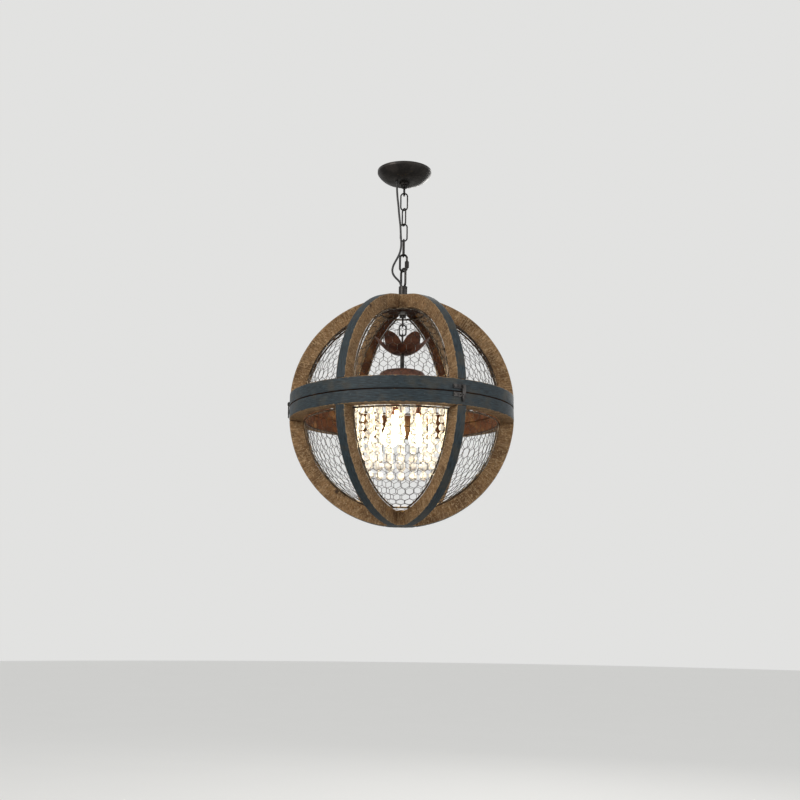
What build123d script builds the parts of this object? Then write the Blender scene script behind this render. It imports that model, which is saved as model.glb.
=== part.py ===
from build123d import *
import math
import os

# Orb chandelier: a wooden cage of two half shells, each a hoop and six curved ribs
# that meet at a round hub, lined with hexagonal wire mesh. It hangs on a chain from a
# ceiling canopy, and a small three-light crystal fixture hangs inside it.
# Millimetres, +Z up. The origin is the centre of the ceiling plane, and -Y is the front.

os.makedirs("parts", exist_ok=True)

# ---------------------------------------------------------------- driving dimensions
SEAM_Z = -575.0            # plane where the two half shells meet
ORB_R = 254.0              # outer radius of the hoops
WOOD_DEPTH = 33.0          # hoops and ribs, measured towards the centre
RIB_WIDTH = 23.5
RIB_COUNT = 6
RIB_STEP = 360 / RIB_COUNT
HOOP_HEIGHT = 28.0
SEAM_GAP = 1.0
ARC_RISE = 12.0            # centre of the rib arcs above the seam plane
HUB_R = 37.0
HUB_BORE_R = 5.4
WASHER_R = 16.0
WASHER_T = 2.0
HUB_NUT_R = 10.0
HUB_NUT_DEPTH = 8.0

ROD_R = 2.0                # border rods on the inner corners of the wood
HUB_RING_R = 50.0
NAIL_R = 1.8
NAIL_HEIGHT = 1.0
NAIL_GAP = 0.02            # under each flat head, on the hollow face of the rib
NAIL_LATITUDES = (14.0, 31.0, 48.0, 65.0)

MESH_T = 1.2
MESH_PITCH = 36.0          # coarse grid that stands in for the netting's 19 mm cells
MESH_BAR = 3.0
MESH_COLUMNS = 3           # bars each side of a gore's middle

LINK_WIRE_R = 1.75
LINK_WIDTH = 19.0
LINK_PITCH = 38.0          # contact to contact
CHAIN_GAP = 0.3            # play left at each contact
LINK_TURNS = {"chain_link_1": -80, "chain_link_2": 0, "chain_link_3": -60, "chain_link_4": 0}
CHAIN_FOOT = 366.0         # contact of link 1 and the quick link, above the seam plane

QUICK_WIRE_R = 2.5
QUICK_WIDTH = 21.0
SLEEVE_R = 5.0
SLEEVE_LENGTH = 15.0
SLEEVE_FOOT = 337.6
QUICK_GAP = (338.6, 344.8)

EYE_WIRE_R = 2.75
EYE_WIDTH = 27.0
EYE_TURN = -62.0
EYE_TOP = 337.6
EYE_GAP = 0.8              # the loop and quick link cross at a slant, so they need more play
COLLAR_R = 10.2
COLLAR_TOP = 291.0

CANOPY_R = 63.5
CANOPY_HEIGHT = 30.0
CANOPY_WALL = 1.2
CANOPY_CROWN_R = 22.0
CANOPY_EDGE = 6.0          # straight height of the canopy's rim
CANOPY_COLLAR_R = 12.0
CANOPY_COLLAR_T = 6.0
CANOPY_EYE_R = 11.0
CANOPY_EYE_WIRE_R = 2.5
LOOP_BASE_R = 7.5
LOOP_BASE_T = 5.0
BUSHING_R = 4.0
NIPPLE_R = 5.0             # threaded tubes through the canopy and the upper hub
NIPPLE_WALL = 1.2
CROSSBAR_LENGTH = 108.0
CROSSBAR_WIDTH = 18.0
CROSSBAR_T = 2.0
SLOT_SPACING = 89.0
SLOT_LENGTH = 12.0
SLOT_R = 2.5
BAR_NUT_R = 9.0
BAR_NUT_T = 5.0

CORD_R = 2.4
CORD_ROUTE = [             # X, Y and height above the seam plane, from the collar upwards
    (-5.2, -3.8, COLLAR_TOP + 0.8), (-6.2, -4.8, 299.4), (-12.0, -6.0, 306.0), (-20.5, -7.0, 314.0),
    (-26.0, -7.5, 324.5), (-24.5, -7.4, 338.5), (-16.6, -7.0, 354.0), (-8.4, -6.6, 370.0),
    (-5.0, -6.4, 390.0),
    (-6.8, -6.2, 413.0), (-7.8, -6.4, 438.0), (-11.2, -6.6, 463.0), (-13.2, -7.4, 488.0),
    (-16.6, -8.8, 513.0), (-17.6, -10.0, 541.0)]

CLASP_ANGLES = {1: -60.0, 2: 60.0, 3: 180.0}
PLATE_LENGTH = 24.0
PLATE_T = 1.6
PLATE_CENTRE = -9.5        # along the hoop, from the middle of the rib
ARM_CENTRE = 3.0
ARM_WIDTH = 8.4
ARM_T = 2.2
PIVOT_HEIGHT = 10.6
PIVOT_R = 2.0
CATCH_OFFSET = (-6.1, -16.9)   # catch pin from the pivot
CATCH_R = 1.5
CLASP_PLAY = 0.3

STRAND_R = 104.0
STRAND_COUNT = 24
INNER_STRAND_R = 70.0
INNER_STRAND_COUNT = 16
BEAD_PITCH = 18.4
BEAD_R = 7.5
BALL_R = 10.0
BALL_HEIGHT = -140.3
CRYSTAL_RING_HEIGHT = 44.0
LIGHT_R = 36.0
LIGHT_ANGLES = (-104.5, 15.5, 135.5)
DISC_R = 53.5
DISC_TOP = 93.0
DISC_FOOT = 66.0
SOCKET_FOOT = -8.0
BULB_FOOT = -82.0

# ---------------------------------------------------------------- derived dimensions
ORB_INNER_R = ORB_R - WOOD_DEPTH
HOOP_TOP = SEAM_GAP / 2 + HOOP_HEIGHT
RIB_OUTER_R = math.hypot(ORB_R, HOOP_TOP - ARC_RISE)
RIB_INNER_R = RIB_OUTER_R - WOOD_DEPTH
HUB_TOP = ARC_RISE + math.sqrt(RIB_OUTER_R ** 2 - HUB_R ** 2)
HUB_FOOT = ARC_RISE + math.sqrt(RIB_INNER_R ** 2 - HUB_R ** 2)
ROD_ARC_R = RIB_INNER_R - ROD_R - 0.05
ROD_SIDE = RIB_WIDTH / 2
HOOP_ROD_HEIGHT = HOOP_TOP + ROD_R
MESH_R = ROD_ARC_R
MESH_MARGIN = ROD_SIDE + ROD_R + 0.15


def height(above_seam):
    """Row Z of a height given from the seam plane."""
    return SEAM_Z + above_seam


def seam_point(x, y, above_seam):
    return Vector(x, y, height(above_seam))


def radial_plane(angle, above_seam=0.0):
    """Plane through the orb's axis: local X points outwards at the angle, local Y up."""
    turn = math.radians(angle)
    return Plane(origin=(0, 0, height(above_seam)),
                 x_dir=(math.cos(turn), math.sin(turn), 0),
                 z_dir=(math.sin(turn), -math.cos(turn), 0))


def save(builder, name):
    """Label a finished sub-part and write it under its own name."""
    builder.part.label = name
    export_step(builder.part, f"parts/{name}.step")


def save_pair(upper, name):
    """Write an upper sub-part and its mirror image in the lower half shell."""
    save(upper, f"upper_{name}")
    with BuildPart() as lower:
        mirror(upper.part, about=Plane.XY.offset(SEAM_Z))
    save(lower, f"lower_{name}")


# ---------------------------------------------------------------- wooden half shells
def arc_height(radius, reach):
    """Height above the seam plane of a rib arc of this radius, at a reach from the axis."""
    return ARC_RISE + math.sqrt(radius ** 2 - reach ** 2)


def arc_point(radius, latitude):
    """Reach and height of a point on a rib arc, in a radial plane."""
    angle = math.radians(latitude)
    return (radius * math.cos(angle), ARC_RISE + radius * math.sin(angle))


def make_rib(angle):
    reach_at_hub = HUB_R - 5           # the rib runs on into the hub, which is then cut out
    foot_outer = (ORB_R, HOOP_TOP)
    foot_inner = (math.sqrt(RIB_INNER_R ** 2 - (HOOP_TOP - ARC_RISE) ** 2), HOOP_TOP)
    tip_outer = (reach_at_hub, arc_height(RIB_OUTER_R, reach_at_hub))
    tip_inner = (reach_at_hub, arc_height(RIB_INNER_R, reach_at_hub))
    with BuildPart() as rib:
        with BuildSketch(radial_plane(angle)):
            with BuildLine():
                ThreePointArc(foot_outer, arc_point(RIB_OUTER_R, 45), tip_outer)
                Line(tip_outer, tip_inner)
                ThreePointArc(tip_inner, arc_point(RIB_INNER_R, 45), foot_inner)
                Line(foot_inner, foot_outer)
            make_face()
        extrude(amount=RIB_WIDTH / 2, both=True)
        with BuildSketch(Plane.XY.offset(height(HUB_FOOT - HUB_R))):
            Circle(HUB_R)
        extrude(amount=3 * HUB_R, mode=Mode.SUBTRACT)
    return rib


for number in range(RIB_COUNT):
    save_pair(make_rib(-120 + number * RIB_STEP), f"rib_{number + 1}")

with BuildPart() as hoop:
    with BuildSketch(Plane.XY.offset(height(SEAM_GAP / 2))):
        Circle(ORB_R)
        Circle(ORB_INNER_R, mode=Mode.SUBTRACT)
    extrude(amount=HOOP_HEIGHT)
save_pair(hoop, "hoop")

with BuildPart() as hub:
    with BuildSketch(Plane.XY.offset(height(HUB_FOOT))):
        Circle(HUB_R)
        Circle(HUB_BORE_R, mode=Mode.SUBTRACT)
    extrude(amount=HUB_TOP - HUB_FOOT)
save_pair(hub, "hub")


# ---------------------------------------------------------------- border rods and nails
def rib_rod(angle, side):
    """Rod along one inner corner of a rib: part of a torus about the rib arc's centre."""
    start = math.degrees(math.asin((HOOP_ROD_HEIGHT + ROD_R - ARC_RISE) / ROD_ARC_R)) + 0.1
    end = math.degrees(math.acos((HUB_RING_R + ROD_R) / ROD_ARC_R)) - 0.1
    plane = radial_plane(angle, ARC_RISE)
    across = plane.z_dir
    centre = plane.origin + across * (side * ROD_SIDE)
    first = math.radians(start)
    outwards = plane.x_dir * math.cos(first) + Vector(0, 0, 1) * math.sin(first)
    section = Plane(origin=centre + outwards * ROD_ARC_R, x_dir=across, z_dir=across.cross(outwards))
    with BuildSketch(section) as rod:
        Circle(ROD_R)
    revolve(rod.sketch, axis=Axis(centre, across), revolution_arc=end - start)


def ring_rod(radius, above_seam):
    with BuildSketch(Plane.XZ) as rod:
        with Locations((radius, height(above_seam))):
            Circle(ROD_R)
    revolve(rod.sketch, axis=Axis.Z)


with BuildPart() as border_rods:
    for number in range(RIB_COUNT):
        for side in (-1, 1):
            rib_rod(number * RIB_STEP, side)
    ring_rod(ORB_INNER_R - ROD_R - 0.4, HOOP_ROD_HEIGHT)
    ring_rod(HUB_RING_R, arc_height(ROD_ARC_R, HUB_RING_R))
save_pair(border_rods, "border_rods")

with BuildPart() as nails:
    for number in range(RIB_COUNT):
        rib_plane = radial_plane(number * RIB_STEP)
        for latitude in NAIL_LATITUDES:
            reach, rise = arc_point(RIB_INNER_R - NAIL_HEIGHT - NAIL_GAP, latitude)
            tilt = math.radians(latitude)
            outwards = rib_plane.x_dir * math.cos(tilt) + Vector(0, 0, math.sin(tilt))
            head = rib_plane.x_dir * reach + Vector(0, 0, height(rise))
            with BuildSketch(Plane(origin=head, x_dir=rib_plane.z_dir, z_dir=outwards)):
                Circle(NAIL_R)
    extrude(amount=NAIL_HEIGHT)
save_pair(nails, "nails")


# ---------------------------------------------------------------- wire mesh lining
def gore_outline(margin, hub_reach, foot):
    """Prism between two neighbouring ribs, kept this far from their middle planes."""
    slope = math.tan(math.radians(RIB_STEP / 2))
    apex = margin / math.sin(math.radians(RIB_STEP / 2))
    far = ORB_R
    with BuildSketch(Plane.XY.offset(height(foot))) as outline:
        Polygon((apex, 0), (far, (far - apex) * slope), (far, (apex - far) * slope), align=None)
        Circle(hub_reach, mode=Mode.SUBTRACT)
    extrude(outline.sketch, amount=RIB_OUTER_R, mode=Mode.INTERSECT)


MESH_FOOT = HOOP_ROD_HEIGHT + ROD_R + 0.15
with BuildPart() as gore:
    with Locations(seam_point(0, 0, ARC_RISE)):
        Sphere(MESH_R + MESH_T / 2)
        Sphere(MESH_R - MESH_T / 2, mode=Mode.SUBTRACT)
    gore_outline(MESH_MARGIN, HUB_RING_R + ROD_R + 0.15, MESH_FOOT)


def grid_heights():
    """Heights of the level bars, evenly spaced along the gore's middle meridian."""
    first = math.asin((MESH_FOOT - ARC_RISE) / MESH_R)
    last = math.acos((HUB_RING_R + ROD_R) / MESH_R)
    count = round((last - first) * MESH_R / MESH_PITCH)
    step = (last - first) / count
    return [ARC_RISE + MESH_R * math.sin(first + row * step) for row in range(1, count)]


# The grid's cells are cut through the sheet as level blocks, each between two bars. The
# border of every gore stays whole, because the cells keep a bar's width inside its outline.
with BuildPart() as cells:
    levels = [MESH_FOOT] + grid_heights() + [arc_height(MESH_R, HUB_RING_R + ROD_R)]
    for low, high in zip(levels, levels[1:]):
        clear_height = high - low - MESH_BAR * math.cos(math.asin((low - ARC_RISE) / MESH_R))
        reach = ORB_R
        with BuildSketch(Plane.XY.offset(height((low + high - clear_height) / 2))):
            for column in range(-MESH_COLUMNS, MESH_COLUMNS + 1):
                with Locations((reach / 2, column * MESH_PITCH)):
                    Rectangle(reach, MESH_PITCH - MESH_BAR)
        extrude(amount=clear_height)
    gore_outline(MESH_MARGIN + MESH_BAR, HUB_RING_R + ROD_R + 0.15 + MESH_BAR, MESH_FOOT)

with BuildPart() as gore_grid:
    add(gore.part)
    add(cells.part, mode=Mode.SUBTRACT)

with BuildPart() as mesh:
    with PolarLocations(0, RIB_COUNT, start_angle=RIB_STEP / 2):
        add(gore_grid.part)
save_pair(mesh, "mesh")


# ---------------------------------------------------------------- loops of round wire
def oval_path(width, length, top, turn, wire_r):
    """Centre line of an upright oval loop: its plane is turned about Z from the front."""
    plane = Plane(origin=(0, 0, height(top - length / 2)),
                  x_dir=(math.cos(math.radians(turn)), math.sin(math.radians(turn)), 0),
                  z_dir=(math.sin(math.radians(turn)), -math.cos(math.radians(turn)), 0))
    reach = width / 2 - wire_r
    straight = length / 2 - width / 2
    with BuildLine(plane) as path:
        Line((reach, 0), (reach, straight))
        ThreePointArc((reach, straight), (0, straight + reach), (-reach, straight))
        Line((-reach, straight), (-reach, -straight))
        ThreePointArc((-reach, -straight), (0, -straight - reach), (reach, -straight))
        Line((reach, -straight), (reach, 0))
    return path, plane


def oval_loop(width, length, top, turn, wire_r):
    path, plane = oval_path(width, length, top, turn, wire_r)
    start = plane.from_local_coords((width / 2 - wire_r, 0, 0))
    with BuildSketch(Plane(origin=start, x_dir=plane.x_dir, z_dir=(0, 0, 1))) as section:
        Circle(wire_r)
    sweep(section.sketch, path=path.wire())


link_length = LINK_PITCH + CHAIN_GAP + 4 * LINK_WIRE_R
for place, (name, turn) in enumerate(LINK_TURNS.items()):
    top = CHAIN_FOOT + (place + 1) * LINK_PITCH + CHAIN_GAP + 2 * LINK_WIRE_R
    with BuildPart() as link:
        oval_loop(LINK_WIDTH, link_length, top, turn, LINK_WIRE_R)
    save(link, name)

# The quick link is an open oval. Its sleeve closes the gap, and slides up to open it.
quick_top = CHAIN_FOOT + CHAIN_GAP + 2 * QUICK_WIRE_R
quick_foot = EYE_TOP - 2 * EYE_WIRE_R - EYE_GAP - 2 * QUICK_WIRE_R
with BuildPart() as quick_link:
    oval_loop(QUICK_WIDTH, quick_top - quick_foot, quick_top, 0, QUICK_WIRE_R)
    with BuildSketch(Plane.XY.offset(height(QUICK_GAP[0]))):
        with Locations((QUICK_WIDTH / 2 - QUICK_WIRE_R, 0)):
            Circle(2 * QUICK_WIRE_R)
    extrude(amount=QUICK_GAP[1] - QUICK_GAP[0], mode=Mode.SUBTRACT)
save(quick_link, "quick_link")

with BuildPart() as quick_link_sleeve:
    with BuildSketch(Plane.XY.offset(height(SLEEVE_FOOT))):
        with Locations((QUICK_WIDTH / 2 - QUICK_WIRE_R, 0)):
            RegularPolygon(SLEEVE_R, 6)
            Circle(QUICK_WIRE_R + 0.06, mode=Mode.SUBTRACT)
    extrude(amount=SLEEVE_LENGTH)
save(quick_link_sleeve, "quick_link_sleeve")

# ---------------------------------------------------------------- hanging gear of the orb
with BuildPart() as top_washer:
    with BuildSketch(Plane.XY.offset(height(HUB_TOP))):
        Circle(WASHER_R)
        Circle(HUB_BORE_R, mode=Mode.SUBTRACT)
    extrude(amount=WASHER_T)
save(top_washer, "top_washer")

NUT_FOOT = HUB_FOOT - HUB_NUT_DEPTH
TUBE_TOP = HUB_TOP + 12
with BuildPart() as hub_tube:
    with BuildSketch(Plane.XY.offset(height(NUT_FOOT))):
        Circle(NIPPLE_R)
        Circle(NIPPLE_R - NIPPLE_WALL, mode=Mode.SUBTRACT)
    extrude(amount=TUBE_TOP - NUT_FOOT)
save(hub_tube, "hub_tube")

GLAND_DEPTH = 3.0
GLAND_R = 3.2
with BuildPart() as hanging_loop:
    with BuildSketch(Plane.XY.offset(height(HUB_TOP + WASHER_T))):
        Circle(COLLAR_R)
    extrude(amount=COLLAR_TOP - HUB_TOP - WASHER_T)
    oval_loop(EYE_WIDTH, EYE_TOP - COLLAR_TOP + 5, EYE_TOP, EYE_TURN, EYE_WIRE_R)
    with BuildSketch(Plane.XY.offset(height(HUB_TOP + WASHER_T))):
        Circle(NIPPLE_R)
    extrude(amount=TUBE_TOP - HUB_TOP - WASHER_T, mode=Mode.SUBTRACT)
    with BuildSketch(Plane.XY.offset(height(COLLAR_TOP))):
        with Locations(CORD_ROUTE[0][:2]):
            Circle(GLAND_R)
    extrude(amount=-GLAND_DEPTH, mode=Mode.SUBTRACT)
save(hanging_loop, "hanging_loop")

with BuildPart() as cord_gland:
    with BuildSketch(Plane.XY.offset(height(COLLAR_TOP))):
        with Locations(CORD_ROUTE[0][:2]):
            Circle(GLAND_R)
    extrude(amount=-GLAND_DEPTH)
save(cord_gland, "cord_gland")

with BuildPart() as hub_nut:
    with BuildSketch(Plane.XY.offset(height(NUT_FOOT))):
        RegularPolygon(HUB_NUT_R, 6)
        Circle(NIPPLE_R, mode=Mode.SUBTRACT)
    extrude(amount=HUB_FOOT - NUT_FOOT)
save(hub_nut, "hub_nut")

# ---------------------------------------------------------------- ceiling group
with BuildPart() as crossbar:
    with BuildSketch(Plane.XY):
        SlotOverall(CROSSBAR_LENGTH, CROSSBAR_WIDTH)
        with Locations((-SLOT_SPACING / 2, 0), (SLOT_SPACING / 2, 0)):
            SlotOverall(SLOT_LENGTH, 2 * SLOT_R, mode=Mode.SUBTRACT)
        Circle(NIPPLE_R, mode=Mode.SUBTRACT)
    extrude(amount=-CROSSBAR_T)
save(crossbar, "crossbar")

with BuildPart() as canopy_nipple:
    with BuildSketch(Plane.XY):
        Circle(NIPPLE_R)
        Circle(NIPPLE_R - NIPPLE_WALL, mode=Mode.SUBTRACT)
    extrude(amount=-(CANOPY_HEIGHT + CANOPY_COLLAR_T))
save(canopy_nipple, "canopy_nipple")

with BuildPart() as crossbar_nut:
    with BuildSketch(Plane.XY.offset(-CROSSBAR_T)):
        RegularPolygon(BAR_NUT_R, 6)
        Circle(NIPPLE_R, mode=Mode.SUBTRACT)
    extrude(amount=-BAR_NUT_T)
save(crossbar_nut, "crossbar_nut")

with BuildPart() as canopy:
    with BuildSketch(Plane.XZ):
        with BuildLine():
            rim = (CANOPY_R, 0)
            shoulder = (CANOPY_R, -CANOPY_EDGE)
            crown = (CANOPY_CROWN_R, -CANOPY_HEIGHT)
            inner_rim = (CANOPY_R - CANOPY_WALL, 0)
            inner_shoulder = (CANOPY_R - CANOPY_WALL, -CANOPY_EDGE)
            inner_crown = (CANOPY_CROWN_R, -CANOPY_HEIGHT + CANOPY_WALL)
            inner_bore = (NIPPLE_R, -CANOPY_HEIGHT + CANOPY_WALL)
            Line((NIPPLE_R, -CANOPY_HEIGHT), crown)
            TangentArc(crown, shoulder, tangent=(1, 0))
            Line(shoulder, rim)
            Line(rim, inner_rim)
            Line(inner_rim, inner_shoulder)
            TangentArc(inner_crown, inner_shoulder, tangent=(1, 0))
            Line(inner_crown, inner_bore)
            Line(inner_bore, (NIPPLE_R, -CANOPY_HEIGHT))
        make_face()
    revolve(axis=Axis.Z)
save(canopy, "canopy")

COLLAR_FOOT_Z = -(CANOPY_HEIGHT + CANOPY_COLLAR_T)
with BuildPart() as canopy_collar:
    with BuildSketch(Plane.XY.offset(-CANOPY_HEIGHT)):
        Circle(CANOPY_COLLAR_R)
        Circle(NIPPLE_R, mode=Mode.SUBTRACT)
    extrude(amount=-CANOPY_COLLAR_T)
save(canopy_collar, "canopy_collar")

canopy_eye_foot = CHAIN_FOOT + 4 * LINK_PITCH - 2 * CANOPY_EYE_WIRE_R
canopy_eye_centre = canopy_eye_foot + CANOPY_EYE_R
with BuildPart() as canopy_loop:
    with BuildSketch(Plane.XY.offset(COLLAR_FOOT_Z)):
        Circle(LOOP_BASE_R)
    extrude(amount=-LOOP_BASE_T)
    with BuildSketch(Plane.XY.offset(height(canopy_eye_centre))):
        with Locations((0, CANOPY_EYE_R - CANOPY_EYE_WIRE_R)):
            Circle(CANOPY_EYE_WIRE_R)
    revolve(axis=Axis((0, 0, height(canopy_eye_centre)), (1, 0, 0)))
save(canopy_loop, "canopy_loop")

with BuildPart() as canopy_bushing:
    with BuildSketch(Plane.XY.offset(-CANOPY_HEIGHT)):
        with Locations(CORD_ROUTE[-1][:2]):
            Circle(BUSHING_R)
    extrude(amount=height(CORD_ROUTE[-1][2] + 0.15) + CANOPY_HEIGHT)
save(canopy_bushing, "canopy_bushing")


# ---------------------------------------------------------------- power cord
def bend_radii(points):
    """Largest arc at each corner that still leaves a tenth of each run straight."""
    radii = []
    for before, corner, after in zip(points, points[1:], points[2:]):
        first, second = corner - before, after - corner
        half_turn = math.radians(first.get_angle(second)) / 2
        radii.append(0.45 * min(first.length, second.length) / math.tan(half_turn))
    return radii


cord_points = [seam_point(*point) for point in CORD_ROUTE]
cord_radii = bend_radii(cord_points)
print("cord radii", [round(radius, 1) for radius in cord_radii])
with BuildPart() as power_cord:
    with BuildLine() as cord_line:
        FilletPolyline(*cord_points, radius=cord_radii)
    with BuildSketch(Plane(origin=cord_points[0], z_dir=cord_points[1] - cord_points[0])):
        Circle(CORD_R)
    sweep(path=cord_line.wire())
cord_length = cord_line.wire().length
print("cord length", round(cord_length, 1), "volume", round(power_cord.part.volume, 1),
      "section x length", round(math.pi * CORD_R ** 2 * cord_length, 1))
save(power_cord, "power_cord")


# ---------------------------------------------------------------- clasps
def clasp_plane(number, reach=ORB_R):
    """Tangent plane at a clasp: local X runs along the hoop, local Y up, Z outwards."""
    turn = math.radians(CLASP_ANGLES[number])
    outwards = Vector(math.cos(turn), math.sin(turn), 0)
    return Plane(origin=outwards * reach + seam_point(0, 0, 0),
                 x_dir=(-math.sin(turn), math.cos(turn), 0), z_dir=outwards)


ARM_REACH = ORB_R + PLATE_T + CLASP_PLAY
PIN_LENGTH = PLATE_T + ARM_T + 2 * CLASP_PLAY
SCREW_OFFSETS = (-8.0, 0.5)
UPPER_PLATE = (PIVOT_HEIGHT, 9.3)      # middle height and width
LOWER_PLATE = (-6.3, 9.4)


def plate(number, middle, width, extra=0.0):
    with BuildSketch(clasp_plane(number)) as outline:
        with Locations((PLATE_CENTRE + extra / 2, middle)):
            RectangleRounded(PLATE_LENGTH + extra, width, 1.5)
    extrude(outline.sketch, amount=PLATE_T)


def pin(number, place, radius, reach, length):
    with BuildSketch(clasp_plane(number, reach)) as outline:
        with Locations(place):
            Circle(radius)
    extrude(outline.sketch, amount=length)


pivot_place = (ARM_CENTRE, PIVOT_HEIGHT)
catch_place = (ARM_CENTRE + CATCH_OFFSET[0], PIVOT_HEIGHT + CATCH_OFFSET[1])
with BuildPart() as clasp_plates:
    for number in CLASP_ANGLES:
        plate(number, UPPER_PLATE[0], UPPER_PLATE[1], extra=5.0)
        pin(number, pivot_place, PIVOT_R, ORB_R, PIN_LENGTH)
        pin(number, pivot_place, PIVOT_R + 1.4, ARM_REACH + ARM_T + CLASP_PLAY, 1.2)
save(clasp_plates, "clasp_plates")

with BuildPart() as clasp_catches:
    for number in CLASP_ANGLES:
        plate(number, LOWER_PLATE[0], LOWER_PLATE[1])
        pin(number, catch_place, CATCH_R, ORB_R, PIN_LENGTH)
save(clasp_catches, "clasp_catches")

for number in CLASP_ANGLES:
    with BuildPart() as clasp_arm:
        with BuildSketch(clasp_plane(number, ARM_REACH)):
            with Locations((ARM_CENTRE, 0.8)):
                RectangleRounded(ARM_WIDTH, 29.4, 1.5)
            with Locations((ARM_CENTRE - 1.2, -16.5)):
                RectangleRounded(5, 9, 1.5)
            with Locations(pivot_place):
                Circle(PIVOT_R + 0.06, mode=Mode.SUBTRACT)
            with Locations((ARM_CENTRE - 3.99, PIVOT_HEIGHT - 17.2)):
                Circle(2.2, mode=Mode.SUBTRACT)
            with Locations((ARM_CENTRE - 5.5, PIVOT_HEIGHT - 17.2)):
                Rectangle(3.0, 4.4, mode=Mode.SUBTRACT)
        extrude(amount=ARM_T)
    save(clasp_arm, f"clasp_arm_{number}")


def plate_screws(middle):
    """Round-head wood screws on the left part of each plate."""
    for number in CLASP_ANGLES:
        for offset in SCREW_OFFSETS:
            pin(number, (PLATE_CENTRE + offset, middle), 2.2, ORB_R + PLATE_T, 1.2)


with BuildPart() as clasp_screws_upper:
    plate_screws(UPPER_PLATE[0])
save(clasp_screws_upper, "clasp_screws_upper")

with BuildPart() as clasp_screws_lower:
    plate_screws(LOWER_PLATE[0])
save(clasp_screws_lower, "clasp_screws_lower")

# ---------------------------------------------------------------- inner crystal fixture
INNER_WIRE_R = 2.0
INNER_LOOP_TOP = NUT_FOOT
INNER_LOOP_WIDTH = 18.0
INNER_LOOP_LENGTH = 24.0
INNER_LOOP_FOOT = INNER_LOOP_TOP - INNER_LOOP_LENGTH - 4
with BuildPart() as inner_loop:
    with BuildSketch(Plane.XY.offset(height(INNER_LOOP_TOP))):
        Circle(LOOP_BASE_R)
    extrude(amount=-LOOP_BASE_T)
    oval_loop(INNER_LOOP_WIDTH, INNER_LOOP_LENGTH, INNER_LOOP_FOOT + INNER_LOOP_LENGTH, 90,
              INNER_WIRE_R)
save(inner_loop, "inner_loop")

inner_contact = INNER_LOOP_FOOT + 2 * INNER_WIRE_R
INNER_LINK_LENGTH = 30.0
inner_link_top = inner_contact + CHAIN_GAP + 2 * LINK_WIRE_R
with BuildPart() as inner_link:
    oval_loop(LINK_WIDTH, INNER_LINK_LENGTH, inner_link_top, 0, LINK_WIRE_R)
save(inner_link, "inner_link")

fixture_contact = inner_link_top - INNER_LINK_LENGTH + 2 * LINK_WIRE_R
fixture_loop_top = fixture_contact + CHAIN_GAP + 2 * INNER_WIRE_R
DISH_FLOOR = 130.0
DISH_WALL = 1.5
with BuildPart() as fixture_loop:
    oval_loop(INNER_LOOP_WIDTH, INNER_LINK_LENGTH, fixture_loop_top, 90, INNER_WIRE_R)
    with BuildSketch(Plane.XY.offset(height(DISH_FLOOR + DISH_WALL))):
        Circle(LOOP_BASE_R)
    extrude(amount=fixture_loop_top - INNER_LINK_LENGTH + 3 - DISH_FLOOR - DISH_WALL)
save(fixture_loop, "fixture_loop")

DISH_RIM_R = 64.0
DISH_RIM = 172.0
with BuildPart() as petal_dish:
    with BuildSketch(Plane.XZ):
        with BuildLine():
            floor = height(DISH_FLOOR)
            Line((0, floor), (16, floor))
            TangentArc((16, floor), (DISH_RIM_R, height(DISH_RIM)), tangent=(1, 0))
            Line((DISH_RIM_R, height(DISH_RIM)), (DISH_RIM_R - DISH_WALL, height(DISH_RIM)))
            TangentArc((16, floor + DISH_WALL), (DISH_RIM_R - DISH_WALL, height(DISH_RIM)), tangent=(1, 0))
            Line((16, floor + DISH_WALL), (0, floor + DISH_WALL))
            Line((0, floor + DISH_WALL), (0, floor))
        make_face()
    revolve(axis=Axis.Z)
    with BuildSketch(Plane.XY.offset(height(DISH_FLOOR + 14))):
        with PolarLocations(DISH_RIM_R + 2, RIB_COUNT, start_angle=RIB_STEP / 2):
            Rectangle(34, 34, rotation=45)
    extrude(amount=60, mode=Mode.SUBTRACT)
save(petal_dish, "petal_dish")

STEM_R = 4.8
with BuildPart() as stem:
    with BuildSketch(Plane.XY.offset(height(DISC_TOP))):
        Circle(STEM_R)
        Circle(STEM_R - 1.5, mode=Mode.SUBTRACT)
    extrude(amount=DISH_FLOOR - DISC_TOP)
save(stem, "stem")

with BuildPart() as body_disc:
    with BuildSketch(Plane.XY.offset(height(DISC_FOOT))):
        Circle(DISC_R)
    extrude(amount=DISC_TOP - DISC_FOOT)
    fillet(body_disc.edges().filter_by(GeomType.CIRCLE), radius=2.5)
save(body_disc, "body_disc")

RING_T = 4.0
HANGER_RISE = DISC_FOOT - CRYSTAL_RING_HEIGHT
ARM_TURN = LIGHT_ANGLES[1] + RIB_STEP / 2   # arms and hangers pass between the lights
with BuildPart() as crystal_ring:
    for radius in (STRAND_R, INNER_STRAND_R):
        with BuildSketch(Plane.XY.offset(height(CRYSTAL_RING_HEIGHT))):
            Circle(radius + RING_T)
            Circle(radius - RING_T, mode=Mode.SUBTRACT)
        extrude(amount=RING_T)
    with BuildSketch(Plane.XY.offset(height(CRYSTAL_RING_HEIGHT))):
        with PolarLocations((STRAND_R + DISC_R) / 2 - 5, RIB_COUNT, start_angle=ARM_TURN):
            Rectangle(STRAND_R - DISC_R + 10, 6)
    extrude(amount=RING_T)
    with BuildSketch(Plane.XY.offset(height(CRYSTAL_RING_HEIGHT))):
        with PolarLocations(DISC_R - 8, RIB_COUNT, start_angle=ARM_TURN):
            Rectangle(10, 6)
    extrude(amount=HANGER_RISE)
save(crystal_ring, "crystal_ring")


def light_places():
    return [(LIGHT_R * math.cos(math.radians(angle)), LIGHT_R * math.sin(math.radians(angle)))
            for angle in LIGHT_ANGLES]


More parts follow.
